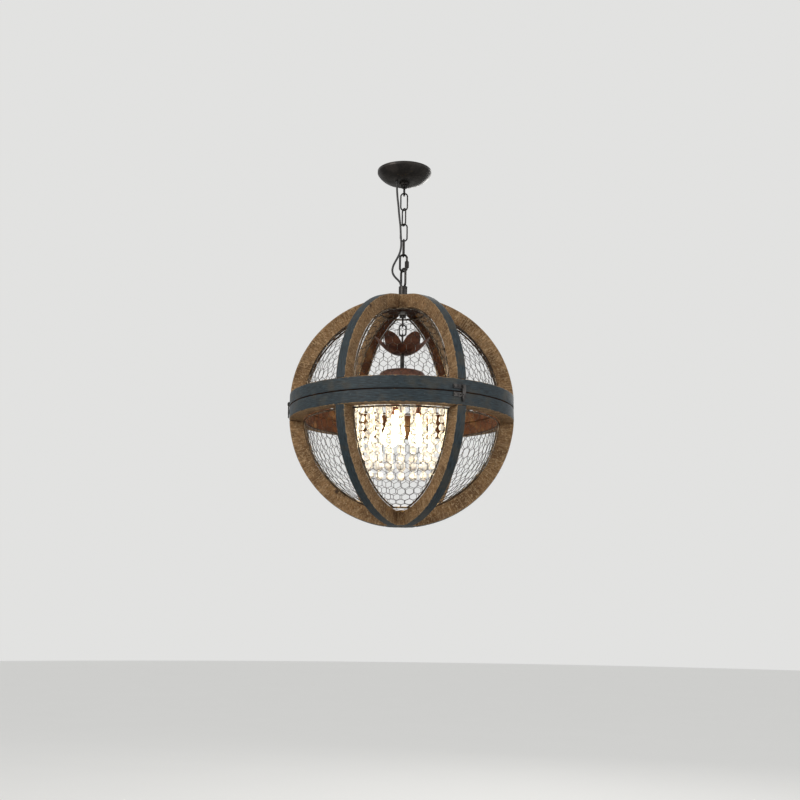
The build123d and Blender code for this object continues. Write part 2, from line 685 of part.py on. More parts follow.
SLEEVE_OUTER_R = 11.0
BULB_BASE_TOP = SOCKET_FOOT + 22
with BuildPart() as candle_sleeves:
    with BuildSketch(Plane.XY.offset(height(DISC_FOOT))):
        with Locations(*light_places()):
            Circle(SLEEVE_OUTER_R)
            Circle(SLEEVE_OUTER_R - 1.2, mode=Mode.SUBTRACT)
    extrude(amount=SOCKET_FOOT - DISC_FOOT)
save(candle_sleeves, "candle_sleeves")

with BuildPart() as lamp_sockets:
    with BuildSketch(Plane.XY.offset(height(DISC_FOOT))):
        with Locations(*light_places()):
            Circle(SLEEVE_OUTER_R - 1.5)
    extrude(amount=BULB_BASE_TOP - DISC_FOOT)
save(lamp_sockets, "lamp_sockets")

BULB_R = 17.5
BULB_BASE_R = 6.5
with BuildPart() as bulbs:
    bulb_middle = BULB_FOOT + BULB_R
    with BuildSketch(Plane.XZ):
        with BuildLine():
            Line((0, height(BULB_FOOT)), (0, height(BULB_BASE_TOP)))
            Line((0, height(BULB_BASE_TOP)), (BULB_BASE_R, height(BULB_BASE_TOP)))
            Line((BULB_BASE_R, height(BULB_BASE_TOP)), (BULB_BASE_R, height(SOCKET_FOOT)))
            Line((BULB_BASE_R, height(SOCKET_FOOT)), (BULB_R, height(bulb_middle)))
            RadiusArc((BULB_R, height(bulb_middle)), (0, height(BULB_FOOT)), BULB_R)
        make_face()
    revolve(axis=Axis.Z)
    bulb = bulbs.part
with BuildPart() as bulb_group:
    with Locations(*[(x, y, 0) for x, y in light_places()]):
        add(bulb)
save(bulb_group, "bulbs")


def strand_profile(foot_bead, top):
    """Half outline of a strand: faceted beads on a wire, with a round drop at its foot."""
    wire = 0.8
    points = [(0, foot_bead - BALL_R), (BALL_R * 0.75, foot_bead - BALL_R * 0.6),
              (BALL_R, foot_bead), (BALL_R * 0.75, foot_bead + BALL_R * 0.6),
              (wire, foot_bead + BALL_R)]
    middle = foot_bead + BALL_R + 1.5 + BEAD_R
    while middle + BEAD_R < top:
        points += [(wire, middle - BEAD_R), (BEAD_R, middle), (wire, middle + BEAD_R)]
        middle += BEAD_PITCH
    points += [(wire, top), (0, top)]
    return [(x, height(z)) for x, z in points]


def strands(radius, count, foot_bead):
    with BuildPart() as one:
        with BuildSketch(Plane.XZ):
            with BuildLine():
                Polyline(*strand_profile(foot_bead, CRYSTAL_RING_HEIGHT), close=True)
            make_face()
        revolve(axis=Axis.Z)
    with BuildPart() as group:
        with PolarLocations(radius, count):
            add(one.part)
    return group


save(strands(STRAND_R, STRAND_COUNT, BALL_HEIGHT), "outer_strands")
save(strands(INNER_STRAND_R, INNER_STRAND_COUNT, BALL_HEIGHT + BEAD_PITCH), "inner_strands")
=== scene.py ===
"""Orb chandelier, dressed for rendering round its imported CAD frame.

A wooden cage of two half shells hangs on a chain from a ceiling canopy. Wire netting
lines the cage, and a small crystal fixture with three lamps hangs inside it. Lengths
are metres in the CAD's own frame: +Z up, the ceiling plane at zero, -Y the front.
"""
from __future__ import annotations

import logging
import math
from dataclasses import dataclass, field
from enum import Enum
from typing import Any, Sequence

import bpy
import numpy as np
from mathutils import Matrix, Vector

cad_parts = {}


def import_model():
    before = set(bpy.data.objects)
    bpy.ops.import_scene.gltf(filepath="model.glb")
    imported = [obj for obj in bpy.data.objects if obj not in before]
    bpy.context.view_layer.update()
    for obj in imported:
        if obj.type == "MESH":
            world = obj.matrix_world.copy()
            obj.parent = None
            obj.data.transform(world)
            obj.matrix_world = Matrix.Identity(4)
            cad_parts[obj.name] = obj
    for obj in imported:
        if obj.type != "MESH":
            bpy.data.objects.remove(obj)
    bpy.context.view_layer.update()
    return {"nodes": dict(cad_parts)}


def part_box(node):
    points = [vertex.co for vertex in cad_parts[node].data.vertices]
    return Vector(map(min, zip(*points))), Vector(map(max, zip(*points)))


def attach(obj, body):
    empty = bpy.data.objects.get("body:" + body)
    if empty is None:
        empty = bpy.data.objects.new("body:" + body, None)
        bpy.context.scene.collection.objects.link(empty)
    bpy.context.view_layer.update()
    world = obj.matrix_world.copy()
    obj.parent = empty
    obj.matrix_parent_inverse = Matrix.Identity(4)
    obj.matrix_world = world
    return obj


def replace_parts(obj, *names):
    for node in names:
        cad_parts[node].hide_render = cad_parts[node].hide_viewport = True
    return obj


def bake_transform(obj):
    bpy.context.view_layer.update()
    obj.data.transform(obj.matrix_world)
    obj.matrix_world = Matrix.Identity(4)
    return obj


LOG = logging.getLogger("chandelier")
MM = 0.001
SEAM_Z = -0.575
RIB_STEP = math.radians(60)
FIRST_RIB = math.radians(-120)
GORES = range(1, 7)
PALE = (0.80, 0.80, 0.79)
Colour = tuple[float, float, float]
Points = np.ndarray


class Half(Enum):
    """A half shell of the cage: its sign of height from the seam, and its CAD body."""

    UPPER = (1.0, "orb")
    LOWER = (-1.0, "lower_half")

    @property
    def sign(self) -> float:
        """Plus one above the seam plane and minus one below it."""
        return self.value[0]

    @property
    def body(self) -> str:
        """The CAD body that this half shell's pieces ride on."""
        return self.value[1]

    @property
    def word(self) -> str:
        """The first word of this half's node and piece names."""
        return self.name.lower()


# ------------------------------------------------------------------ surfaces by numpy
def grid_faces(rows: int, cols: int, close_rows: bool, close_cols: bool) -> np.ndarray:
    """Quads of a grid of points numbered row by row: each joins a point, the next in its
    row and the two beside them in the next row, and a closed direction runs on to its start.

    Args:
        rows: Number of rows of points.
        cols: Number of points in a row.
        close_rows: Whether the last row joins the first.
        close_cols: Whether the last column joins the first.

    Returns:
        Point numbers, four to a face.
    """
    row = np.arange(rows if close_rows else rows - 1)[:, None]
    col = np.arange(cols if close_cols else cols - 1)[None, :]
    after, beside = (row + 1) % rows, (col + 1) % cols
    corners = (row * cols + col, row * cols + beside, after * cols + beside, after * cols + col)
    return np.stack(corners, axis=-1).reshape(-1, 4)


def grid_uv(along: np.ndarray, across: np.ndarray) -> np.ndarray:
    """UV of each face corner of a grid, from one length per row line and per column line.

    Args:
        along: Length at each row line, one more than the rows of faces.
        across: Length at each column line, one more than the columns of faces.

    Returns:
        An array of faces by four corners by two, in metres.
    """
    near, far = along[:-1, None], along[1:, None]
    left, right = across[None, :-1], across[None, 1:]
    shape = (len(along) - 1, len(across) - 1)
    corners = ((near, left), (near, right), (far, right), (far, left))
    pairs = [np.stack([np.broadcast_to(a, shape), np.broadcast_to(b, shape)], -1)
             for a, b in corners]
    return np.stack(pairs, axis=2).reshape(-1, 4, 2)


def circle(count: int) -> Points:
    """Even angles round a whole turn, from zero."""
    return np.arange(count) * (2 * math.pi / count)


def end_caps(sides: int, last: int) -> np.ndarray:
    """Quads that close a tube's first ring, and its last ring, whose points start at last."""
    fan = np.arange(sides // 2 - 1)
    near = np.stack([fan, sides - 1 - fan, sides - 2 - fan, fan + 1], -1)
    return np.concatenate([near, near[:, ::-1] + last])


def enclosed_volume(points: Points, faces: np.ndarray) -> float:
    """Signed volume inside a closed mesh of quads: a sixth of the sum of each triangle's
    corner vectors multiplied as a box, positive where faces point outwards."""
    a, b, c, d = (points[faces[:, i]] for i in range(4))
    return float((np.cross(a, b) * c).sum() + (np.cross(a, c) * d).sum()) / 6


def ripple(points: Points, wavelength: float, seed: int, waves: int = 14) -> np.ndarray:
    """Smooth seeded noise, about -1 to 1: the sum of plane sine waves that cross the
    points in random directions, with lengths round the wavelength.

    Args:
        points: Places to read, any shape ending in three.
        wavelength: Mean length of the waves in metres.
        seed: Start of the random draws.
        waves: Number of waves.

    Returns:
        One value per point.
    """
    draw = np.random.default_rng(seed)
    heading = draw.normal(size=(waves, 3))
    heading /= np.linalg.norm(heading, axis=1, keepdims=True)
    lengths = wavelength * draw.uniform(0.6, 1.7, waves)
    phases = draw.uniform(0, 2 * math.pi, waves)
    return np.sin(points @ heading.T * (2 * math.pi / lengths) + phases).sum(-1) / math.sqrt(waves)


def unit(vectors: Points) -> Points:
    """Each vector divided by its own length."""
    return vectors / np.linalg.norm(vectors, axis=-1, keepdims=True)


def make_piece(name: str, points: Points, faces: np.ndarray, material: bpy.types.Material,
               caps: Sequence[Sequence[int]] = (), uv: np.ndarray | None = None,
               values: dict[str, np.ndarray] | None = None, sharp: float | None = None,
               closed: bool = True) -> bpy.types.Object:
    """A mesh object at the origin, with its place in its points and faces outwards.

    Args:
        name: Piece name.
        points: Points, shaped (n, 3).
        faces: Quads, or triangles written with their last point twice.
        material: Finish of the whole piece.
        caps: Further faces of any number of points.
        uv: UV of each quad's corners, from grid_uv.
        values: Point attributes by name.
        sharp: Angle in degrees above which an edge is shaded sharp.
        closed: Whether the faces enclose a volume, whose sign tells outwards.

    Returns:
        The object, linked to the scene.
    """
    points = points.reshape(-1, 3)
    caps = [list(map(int, cap)) for cap in caps]
    if closed:
        fans = [(cap[0], cap[i], cap[i + 1], cap[i + 1])
                for cap in caps for i in range(1, len(cap) - 1)]
        whole = np.concatenate([faces, np.array(fans).reshape(-1, 4)]).astype(int)
        if enclosed_volume(points, whole) < 0:
            faces = faces[:, ::-1]
            caps = [cap[::-1] for cap in caps]
            uv = None if uv is None else uv[:, ::-1]
    mesh = bpy.data.meshes.new(name)
    doubled = faces[:, 2] == faces[:, 3]
    turned = faces[:, 0] == faces[:, 1]
    rows = [face[:3] if two else face[1:] if one else face
            for face, two, one in zip(faces.tolist(), doubled, turned)]
    mesh.from_pydata(points.tolist(), [], rows + caps)
    if uv is not None:
        layer = mesh.uv_layers.new(name="UVMap")
        flat = np.zeros((len(mesh.loops), 2), np.float32)
        flat[:uv.size // 2] = uv.reshape(-1, 2)
        layer.data.foreach_set("uv", flat.ravel())
    for key, array in (values or {}).items():
        attribute = mesh.attributes.new(key, "FLOAT", "POINT")
        attribute.data.foreach_set("value", np.asarray(array, np.float32).ravel())
    mesh.polygons.foreach_set("use_smooth", np.ones(len(mesh.polygons), bool))
    mesh.update()
    if sharp is not None:
        mesh.set_sharp_from_angle(angle=math.radians(sharp))
    mesh.materials.append(material)
    piece = bpy.data.objects.new(name, mesh)
    bpy.context.scene.collection.objects.link(piece)
    LOG.info("%s: %d faces", name, len(mesh.polygons))
    return piece


def tube_points(path: Points, radius: np.ndarray | float, sides: int, aside: Points,
                flat: float = 1.0, turns: np.ndarray | float = 0.0) -> Points:
    """Rings of points round a path: each ring is an ellipse in the plane across the path,
    spanned by the direction nearest to aside and the one square to it, turned by turns.

    Args:
        path: Centre line, shaped (..., n, 3).
        radius: Radius, one or one per path point.
        sides: Points in a ring.
        aside: A direction that is never along the path.
        flat: Height of the ellipse over its width.
        turns: Turn of the ellipse in radians, one or one per path point.

    Returns:
        Points shaped (..., n, sides, 3).
    """
    ahead = unit(np.gradient(path, axis=-2))
    across = unit(aside - (aside * ahead).sum(-1, keepdims=True) * ahead)
    square = np.cross(ahead, across)
    angle = np.arange(sides) * (2 * math.pi / sides)
    turns = np.asarray(turns)[..., None]
    wide, high = np.cos(angle), flat * np.sin(angle)
    first = wide * np.cos(turns) - high * np.sin(turns)
    second = wide * np.sin(turns) + high * np.cos(turns)
    reach = np.asarray(radius)[..., None, None]
    ring = first[..., None] * across[..., None, :] + second[..., None] * square[..., None, :]
    return path[..., None, :] + reach * ring


def make_tube(name: str, path: Points, radius: np.ndarray | float, sides: int, aside: Points,
              material: bpy.types.Material, closed: bool = False) -> bpy.types.Object:
    """A round tube along one path, with a UV map that runs along it and round it.

    Args:
        name: Piece name.
        path: Centre line, shaped (n, 3), without its first point again if closed.
        radius: Radius, one or one per path point.
        sides: Points in a ring.
        aside: A direction that is never along the path.
        material: Finish.
        closed: Whether the tube runs back into its start.

    Returns:
        The tube's object.
    """
    if closed:
        line = np.concatenate([path[-1:], path, path[:1]])
        rings = tube_points(line, radius, sides, aside)[1:-1]
        loop = np.concatenate([path, path[:1]])
    else:
        rings = tube_points(path, radius, sides, aside)
        loop = path
    rows = len(path)
    run = np.concatenate([[0], np.cumsum(np.linalg.norm(np.diff(loop, axis=0), axis=1))])
    around = np.linspace(0, 2 * math.pi * float(np.mean(radius)), sides + 1)
    ends = () if closed else (range(sides)[::-1], range((rows - 1) * sides, rows * sides))
    return make_piece(name, rings, grid_faces(rows, sides, closed, True), material, caps=ends,
                      uv=grid_uv(run, around), sharp=60)


def make_lathe(name: str, profile: Sequence[tuple[float, float]], centre: tuple[float, float],
               segments: int, material: bpy.types.Material, sharp: float = 35) -> bpy.types.Object:
    """A closed profile turned about an upright axis: each point is its reach times the
    cosine and sine of the turn, at its own height.

    Args:
        name: Piece name.
        profile: Reach and height of each point, round the section or from pole to pole.
        centre: X and Y of the axis.
        segments: Steps round the axis.
        material: Finish.
        sharp: Angle in degrees above which an edge is shaded sharp.

    Returns:
        The turned object.
    """
    reach, height = np.array(profile).T
    poles = reach[0] < 1e-7 and reach[-1] < 1e-7
    turn = np.arange(segments) * (2 * math.pi / segments)
    body = slice(1, -1) if poles else slice(None)
    ring = np.stack([centre[0] + np.cos(turn)[None] * reach[body, None],
                     centre[1] + np.sin(turn)[None] * reach[body, None],
                     np.broadcast_to(height[body, None], (len(reach[body]), segments))], -1)
    rows = len(ring)
    points = ring.reshape(-1, 3)
    faces = grid_faces(rows, segments, not poles, True)
    if poles:
        tips = [[*centre, height[0]], [*centre, height[-1]]]
        points = np.concatenate([points, tips])
        near = np.arange(segments)
        far = near + (rows - 1) * segments
        first = np.stack([near * 0 + rows * segments, np.roll(near, -1), near, near], -1)
        last = np.stack([near * 0 + rows * segments + 1, far, np.roll(far, -1),
                         np.roll(far, -1)], -1)
        faces = np.concatenate([faces, first, last])
    return make_piece(name, points, faces, material, sharp=sharp)


# ------------------------------------------------------------------ shader trees
class Tree:
    """A node tree with short ways to add nodes and join them."""

    def __init__(self, tree: bpy.types.NodeTree) -> None:
        """Takes the tree that the nodes go into."""
        self.tree = tree

    def add(self, kind: str, inputs: dict[str | int, Any] | None = None,
            **settings: Any) -> bpy.types.Node:
        """Adds a node, sets its properties, and joins or sets its inputs.

        Args:
            kind: Node type without its ShaderNode prefix.
            inputs: Value or output socket for each input, by name or number.
            settings: Properties of the node.

        Returns:
            The new node.
        """
        node = self.tree.nodes.new("ShaderNode" + kind)
        for key, value in settings.items():
            setattr(node, key, value)
        self.fill(node, inputs or {})
        return node

    def fill(self, node: bpy.types.Node, inputs: dict[str | int, Any]) -> None:
        """Joins or sets inputs of a node, by name or number."""
        for key, value in inputs.items():
            self.join(value, node.inputs[key])

    def join(self, value: Any, socket: bpy.types.NodeSocket) -> None:
        """Links an output socket to an input, or sets the input's own value."""
        if isinstance(value, bpy.types.NodeSocket):
            self.tree.links.new(value, socket)
        elif isinstance(value, tuple) and len(value) == 3 and socket.type == "RGBA":
            socket.default_value = (*value, 1)
        else:
            socket.default_value = value

    def math(self, operation: str, first: Any, second: Any = 0.0,
             clamp: bool = False) -> bpy.types.NodeSocket:
        """Output of a Math node of two values."""
        values = {0: first, 1: second}
        return self.add("Math", values, operation=operation, use_clamp=clamp).outputs[0]

    def times(self, first: Any, second: Any, clamp: bool = False) -> bpy.types.NodeSocket:
        """Two values multiplied."""
        return self.math("MULTIPLY", first, second, clamp)

    def mix(self, share: Any, first: Any, second: Any) -> bpy.types.NodeSocket:
        """Colour between two colours, by the share of the second."""
        return self.add("Mix", {0: share, 6: first, 7: second}, data_type="RGBA").outputs[2]

    def layers(self, base: Any, *coats: tuple[Any, float, Any]) -> bpy.types.NodeSocket:
        """A colour covered in turn by others, each where its mask is, up to its share."""
        for mask, share, colour in coats:
            base = self.mix(self.times(mask, share), base, colour)
        return base

    def noise(self, vector: Any, scale: Any, detail: float = 3.0,
              roughness: float = 0.55) -> bpy.types.NodeSocket:
        """Noise over a vector, about 0 to 1."""
        places = {"Vector": vector, "Scale": scale, "Detail": detail, "Roughness": roughness}
        return self.add("TexNoise", places).outputs[0]

    def stretch(self, vector: Any, scale: tuple[float, float, float],
                shift: tuple[float, float, float] = (0, 0, 0)) -> bpy.types.NodeSocket:
        """A vector scaled along each axis and shifted."""
        return self.add("Mapping", {"Vector": vector, "Scale": scale, "Location": shift}).outputs[0]

    def step(self, value: Any, low: float, high: float, to_low: float = 0.0,
             to_high: float = 1.0) -> bpy.types.NodeSocket:
        """A value mapped smoothly from low and high to two others, and held beyond them."""
        ends = {0: value, 1: low, 2: high, 3: to_low, 4: to_high}
        return self.add("MapRange", ends, interpolation_type="SMOOTHSTEP").outputs[0]

    def attribute(self, name: str) -> bpy.types.NodeSocket:
        """A point attribute of the piece."""
        return self.add("Attribute", attribute_name=name).outputs["Fac"]

    def place(self, output: str) -> bpy.types.NodeSocket:
        """The piece's own Object or UV coordinates."""
        return self.add("TexCoord").outputs[output]


def new_group(name: str, inputs: Sequence[tuple[str, str, Any]], outputs: Sequence[tuple[str, str]]
              ) -> tuple[bpy.types.NodeTree, Tree, bpy.types.Node, bpy.types.Node]:
    """An empty shader group with named sockets.

    Args:
        name: Group name.
        inputs: Name, socket type and default of each input.
        outputs: Name and socket type of each output.

    Returns:
        The group, its tree, and its input and output nodes.
    """
    group = bpy.data.node_groups.new(name, "ShaderNodeTree")
    for label, kind, default in inputs:
        socket = group.interface.new_socket(label, in_out="INPUT", socket_type="NodeSocket" + kind)
        if default is not None:
            socket.default_value = default
    for label, kind in outputs:
        group.interface.new_socket(label, in_out="OUTPUT", socket_type="NodeSocket" + kind)
    tree = Tree(group)
    return group, tree, group.nodes.new("NodeGroupInput"), group.nodes.new("NodeGroupOutput")


def sawn_grain_group() -> bpy.types.NodeTree:
    """Marks of a band saw and the wood under them, read on a vector in metres whose first
    axis runs along the timber. Fleck is short dark pores across it, Saw is the ridges that
    the blade left, Patch is the slow change of tone, and Knot is dark round spots.

    Returns:
        The group, with a Vector and a Place input.
    """
    group, tree, source, result = new_group(
        "sawn_grain", [("Vector", "Vector", None), ("Place", "Vector", None)],
        [("Fleck", "Float"), ("Saw", "Float"), ("Patch", "Float"), ("Knot", "Float")])
    vector, place = source.outputs["Vector"], source.outputs["Place"]
    fine = tree.noise(tree.stretch(vector, (900, 190, 1)), 1.0, 3.0, 0.6)
    coarse = tree.noise(tree.stretch(vector, (330, 70, 1), (3.1, 1.7, 0)), 1.0, 2.0)
    flecks = tree.math("ADD", tree.times(fine, 0.6), tree.times(coarse, 0.4))
    ridges = tree.noise(tree.stretch(vector, (560, 26, 1), (7.3, 0.4, 0)), 1.0, 1.0)
    patch = tree.noise(place, 30.0, 3.0, 0.5)
    shift = tree.stretch(vector, (0.3, 0.3, 0))
    bent = tree.add("VectorMath", {0: place, 1: shift}, operation="ADD").outputs[0]
    cells = tree.add("TexVoronoi", {"Vector": bent, "Scale": 17.0}, feature="F1")
    lot = tree.add("SeparateColor", {0: cells.outputs["Color"]}).outputs[0]
    chosen = tree.step(lot, 0.62, 0.66)
    spot = tree.step(cells.outputs["Distance"], 0.07, 0.15, 1.0, 0.0)
    for label, value in (("Fleck", flecks), ("Saw", ridges), ("Patch", patch),
                         ("Knot", tree.times(spot, chosen))):
        tree.join(value, result.inputs[label])
    return group


def wear_group() -> bpy.types.NodeTree:
    """Where a coat has worn through: the edge value plus noise, cut by the amount, so that
    arrises wear first in a ragged line and flat places only in spots.

    Returns:
        The group, with Place, Edge, Amount and Scale inputs and a Mask output.
    """
    group, tree, source, result = new_group(
        "coat_wear", [("Place", "Vector", None), ("Edge", "Float", 0.0), ("Amount", "Float", 0.5),
                      ("Scale", "Float", 150.0)], [("Mask", "Float")])
    ragged = tree.noise(source.outputs["Place"], source.outputs["Scale"], 5.0, 0.62)
    reach = tree.math("ADD", ragged, tree.times(source.outputs["Edge"], 0.42))
    limit = tree.math("SUBTRACT", 1.0, tree.times(source.outputs["Amount"], 0.6))
    over = tree.times(tree.math("SUBTRACT", reach, limit), 14.0, clamp=True)
    tree.join(over, result.inputs["Mask"])
    return group


def patina_group() -> bpy.types.NodeTree:
    """Tone and pits of aged metal: two sizes of noise for the tone, and small spots of it
    for the pits.

    Returns:
        The group, with Place and Scale inputs, and Tone and Pits outputs.
    """
    group, tree, source, result = new_group(
        "metal_patina", [("Place", "Vector", None), ("Scale", "Float", 60.0)],
        [("Tone", "Float"), ("Pits", "Float")])
    place, scale = source.outputs["Place"], source.outputs["Scale"]
    broad = tree.noise(place, scale, 4.0)
    fine = tree.noise(place, tree.times(scale, 9.0), 2.0)
    tone = tree.math("ADD", tree.times(broad, 0.75), tree.times(fine, 0.25))
    tree.join(tree.step(tone, 0.34, 0.66), result.inputs["Tone"])
    tree.join(tree.step(fine, 0.58, 0.72), result.inputs["Pits"])
    return group


class Finishes:
    """Every finish of the chandelier, each built the first time that it is asked for."""

    def __init__(self) -> None:
        """Builds the shared groups."""
        self.groups = {"sawn_grain": sawn_grain_group(), "coat_wear": wear_group(),
                       "metal_patina": patina_group()}
        self.made: dict[str, bpy.types.Material] = {}

    def start(self, name: str) -> tuple[bpy.types.Material, Tree, bpy.types.Node]:
        """A new material with a Principled surface.

        Args:
            name: Material name.

        Returns:
            The material, its tree and its Principled node.
        """
        material = bpy.data.materials.new(name)
        material.use_nodes = True
        tree = Tree(material.node_tree)
        self.made[name] = material
        return material, tree, material.node_tree.nodes["Principled BSDF"]

    def use(self, tree: Tree, group: str, inputs: dict[str, Any]) -> bpy.types.Node:
        """Places a shared group in a tree with its own values."""
        return tree.add("Group", inputs, node_tree=self.groups[group])

    def metal(self, kind: "Metal") -> bpy.types.Material:
        """The material of a metal or plastic finish."""
        return self.made.get(kind.name) or kind.build(self)

    def timber(self) -> bpy.types.Material:
        """Weathered timber: paint outside, bare sawn sides, a dark stain inside, and painted shade
        at the hoop seam.
        """
        return self.made.get("weathered_timber") or TimberFinish().build(self)

    def crystal(self) -> bpy.types.Material:
        """Cut crystal."""
        return self.made.get("cut_crystal") or self._crystal()

    def bulb(self) -> bpy.types.Material:
        """Glass of a lit lamp."""
        return self.made.get("lit_glass") or self._bulb()

    def _crystal(self) -> bpy.types.Material:
        """Glass that lets part of the light through, with faint haze in patches, tinted cream as a
        painted warm glow of the lamps.
        """
        material, tree, surface = self.start("cut_crystal")
        haze = tree.noise(tree.place("Object"), 700.0, 2.0)
        tree.fill(surface, {
            # The cream base colours are a painted warm glow of the lamps on the glass.
            "Base Color": tree.mix(haze, (0.97, 0.95, 0.89), (1.0, 0.99, 0.95)),
            "Roughness": tree.step(haze, 0.4, 0.7, 0.06, 0.14), "IOR": 1.5,
            "Transmission Weight": 0.62})
        return material

    def _bulb(self) -> bpy.types.Material:
        """Warm glow that is whiter low down and amber towards the neck."""
        material, tree, surface = self.start("lit_glass")
        rise = tree.add("SeparateXYZ", {0: tree.place("Object")}).outputs["Z"]
        neck = tree.step(rise, SEAM_Z - 0.03, SEAM_Z - 0.01)
        cloud = tree.noise(tree.place("Object"), 120.0, 2.0)
        white = tree.mix(cloud, (1.0, 0.80, 0.50), (1.0, 0.86, 0.60))
        tree.fill(surface, {
            "Emission Color": tree.mix(neck, white, (1.0, 0.62, 0.28)), "Emission Strength": 30.0,
            "Base Color": tree.mix(cloud, (0.9, 0.84, 0.72), (0.95, 0.9, 0.8)),
            "Roughness": 0.15})
        return material


@dataclass(frozen=True)
class Metal:
    """An aged metal, or a moulded plastic where metallic is zero."""

    name: str
    dark: Colour
    light: Colour
    metallic: float = 0.9
    smooth: float = 0.3
    rough: float = 0.55
    scale: float = 60.0
    pit_depth: float = 0.15

    def build(self, finishes: Finishes) -> bpy.types.Material:
        """The tone of the patina sets colour and roughness, and its pits a fine bump.

        Args:
            finishes: The shared groups and made materials.

        Returns:
            The material.
        """
        material, tree, surface = finishes.start(self.name)
        patina = finishes.use(tree, "metal_patina",
                              {"Place": tree.place("Object"), "Scale": self.scale})
        tone, pits = patina.outputs["Tone"], patina.outputs["Pits"]
        bump = tree.add("Bump", {"Strength": self.pit_depth, "Distance": 0.4 * MM, "Height": pits},
                        invert=True)
        tree.fill(surface, {
            "Base Color": tree.mix(tone, self.dark, self.light), "Metallic": self.metallic,
            "Roughness": tree.step(tone, 0.0, 1.0, self.rough, self.smooth),
            "Normal": bump.outputs[0]})
        return material


BLACK_IRON = Metal("black_iron", (0.012, 0.011, 0.011), (0.035, 0.031, 0.028), 0.75, 0.32, 0.5)
BRONZE_WIRE = Metal("bronze_wire", (0.018, 0.013, 0.010), (0.060, 0.043, 0.030),
                    0.85, 0.24, 0.42, 110.0)
BORDER_ROD = Metal("border_rod", (0.045, 0.032, 0.022), (0.260, 0.195, 0.130),
                   0.95, 0.14, 0.28, 90.0)
RUSTY_BROWN = Metal("rusty_brown", (0.045, 0.014, 0.008), (0.140, 0.050, 0.024),
                    0.35, 0.42, 0.65, 55.0, 0.35)
ZINC = Metal("zinc_plate", (0.35, 0.34, 0.32), (0.55, 0.54, 0.51), 0.95, 0.25, 0.42)
BRASS = Metal("lamp_brass", (0.42, 0.27, 0.10), (0.62, 0.43, 0.18), 1.0, 0.2, 0.35)
PIN_STEEL = Metal("pin_steel", (0.45, 0.44, 0.42), (0.65, 0.64, 0.62), 1.0, 0.15, 0.3)
BLACK_PLASTIC = Metal("black_plastic", (0.014, 0.014, 0.014), (0.024, 0.024, 0.024),
                      0.0, 0.4, 0.55, 200.0, 0.1)
CANOPY_IRON = Metal("canopy_iron", (0.014, 0.012, 0.011), (0.040, 0.034, 0.030),
                    0.7, 0.34, 0.5, 35.0)
CORD_JACKET = Metal("cord_jacket", (0.010, 0.010, 0.010), (0.022, 0.021, 0.020),
                    0.0, 0.45, 0.6, 240.0, 0.1)


@dataclass(frozen=True)
class TimberFinish:
    """Colours of the timber: paint outside, sawn wood at the sides, stain inside."""

    paint: Colour = (0.028, 0.044, 0.053)
    paint_dark: Colour = (0.010, 0.014, 0.017)
    paint_worn: Colour = (0.052, 0.046, 0.034)
    scuff: Colour = (0.19, 0.20, 0.19)
    wood: Colour = (0.240, 0.136, 0.060)
    wood_dark: Colour = (0.078, 0.040, 0.017)
    wood_light: Colour = (0.430, 0.300, 0.165)
    # stain and stain_dark also colour the hoops' faces at the seam, as painted shade in the gap.
    stain: Colour = (0.110, 0.040, 0.017)
    stain_dark: Colour = (0.016, 0.008, 0.005)

    def build(self, finishes: Finishes) -> bpy.types.Material:
        """Three looks on one mesh: the point attribute paint is 1 on outer faces, inner is 1
        on inner faces and on the hoops' faces at the seam, where its dark stain is painted shade,
        and edge is 1 on the arrises, where coats have worn to light wood.

        Args:
            finishes: The shared groups and made materials.

        Returns:
            The material.
        """
        material, tree, surface = finishes.start("weathered_timber")
        place, run = tree.place("Object"), tree.place("UV")
        grain = finishes.use(tree, "sawn_grain", {"Vector": run, "Place": place})
        fleck, saw, patch, knot = (
            grain.outputs[name] for name in ("Fleck", "Saw", "Patch", "Knot"))
        edge, paint, inner = (tree.attribute(name) for name in ("edge", "paint", "inner"))
        dust = tree.step(tree.noise(place, 300.0, 3.0, 0.65), 0.5, 0.66)
        soot = tree.step(tree.noise(place, 150.0, 3.0, 0.65), 0.56, 0.7)
        bare = tree.layers(
            tree.mix(tree.step(fleck, 0.36, 0.62), self.wood_dark, self.wood),
            (tree.step(patch, 0.42, 0.66), 0.8, self.wood_dark),
            (tree.step(saw, 0.52, 0.7), 0.45, self.wood_light),
            (dust, 0.7, self.wood_light), (soot, 0.85, self.wood_dark),
            (tree.step(edge, 0.35, 1.0), 0.35, self.wood_light), (knot, 0.85, self.stain_dark))
        # This stain also covers the hoops' faces at the seam, where it is painted shade in the gap.
        stain_and_seam_shade = tree.layers(
            tree.mix(tree.step(fleck, 0.35, 0.65), self.stain_dark, self.stain),
            (tree.step(patch, 0.5, 0.75), 0.6, self.wood), (knot, 1.0, self.stain_dark))
        streak = tree.noise(tree.stretch(run, (60, 700, 1)), 1.0, 3.0)
        coat = tree.layers(
            tree.mix(tree.step(streak, 0.38, 0.66), self.paint_dark, self.paint),
            (tree.step(patch, 0.45, 0.68), 0.5, self.paint_worn),
            (tree.step(fleck, 0.56, 0.66), 0.35, self.paint_worn),
            (tree.step(tree.noise(place, 420.0, 2.0), 0.71, 0.76), 0.7, self.scuff))
        worn = finishes.use(tree, "coat_wear", {
            "Place": place, "Edge": edge, "Amount": 0.3, "Scale": 160.0}).outputs[0]
        coated = tree.times(paint, tree.math("SUBTRACT", 1.0, worn), clamp=True)
        matt = tree.math("ADD", coated, tree.times(fleck, 0.4))
        height = tree.math("ADD", tree.times(fleck, 0.5), tree.times(saw, 0.5))
        height = tree.math("ADD", height, tree.times(coated, 0.35))
        bump = tree.add("Bump", {"Strength": 0.55, "Distance": 1.1 * MM, "Height": height})
        tree.fill(surface, {
            "Base Color": tree.mix(coated, tree.mix(inner, bare, stain_and_seam_shade), coat),
            "Roughness": tree.step(matt, 0.2, 1.3, 0.82, 0.55), "Specular IOR Level": 0.22,
            "Normal": bump.outputs[0]})
        return material


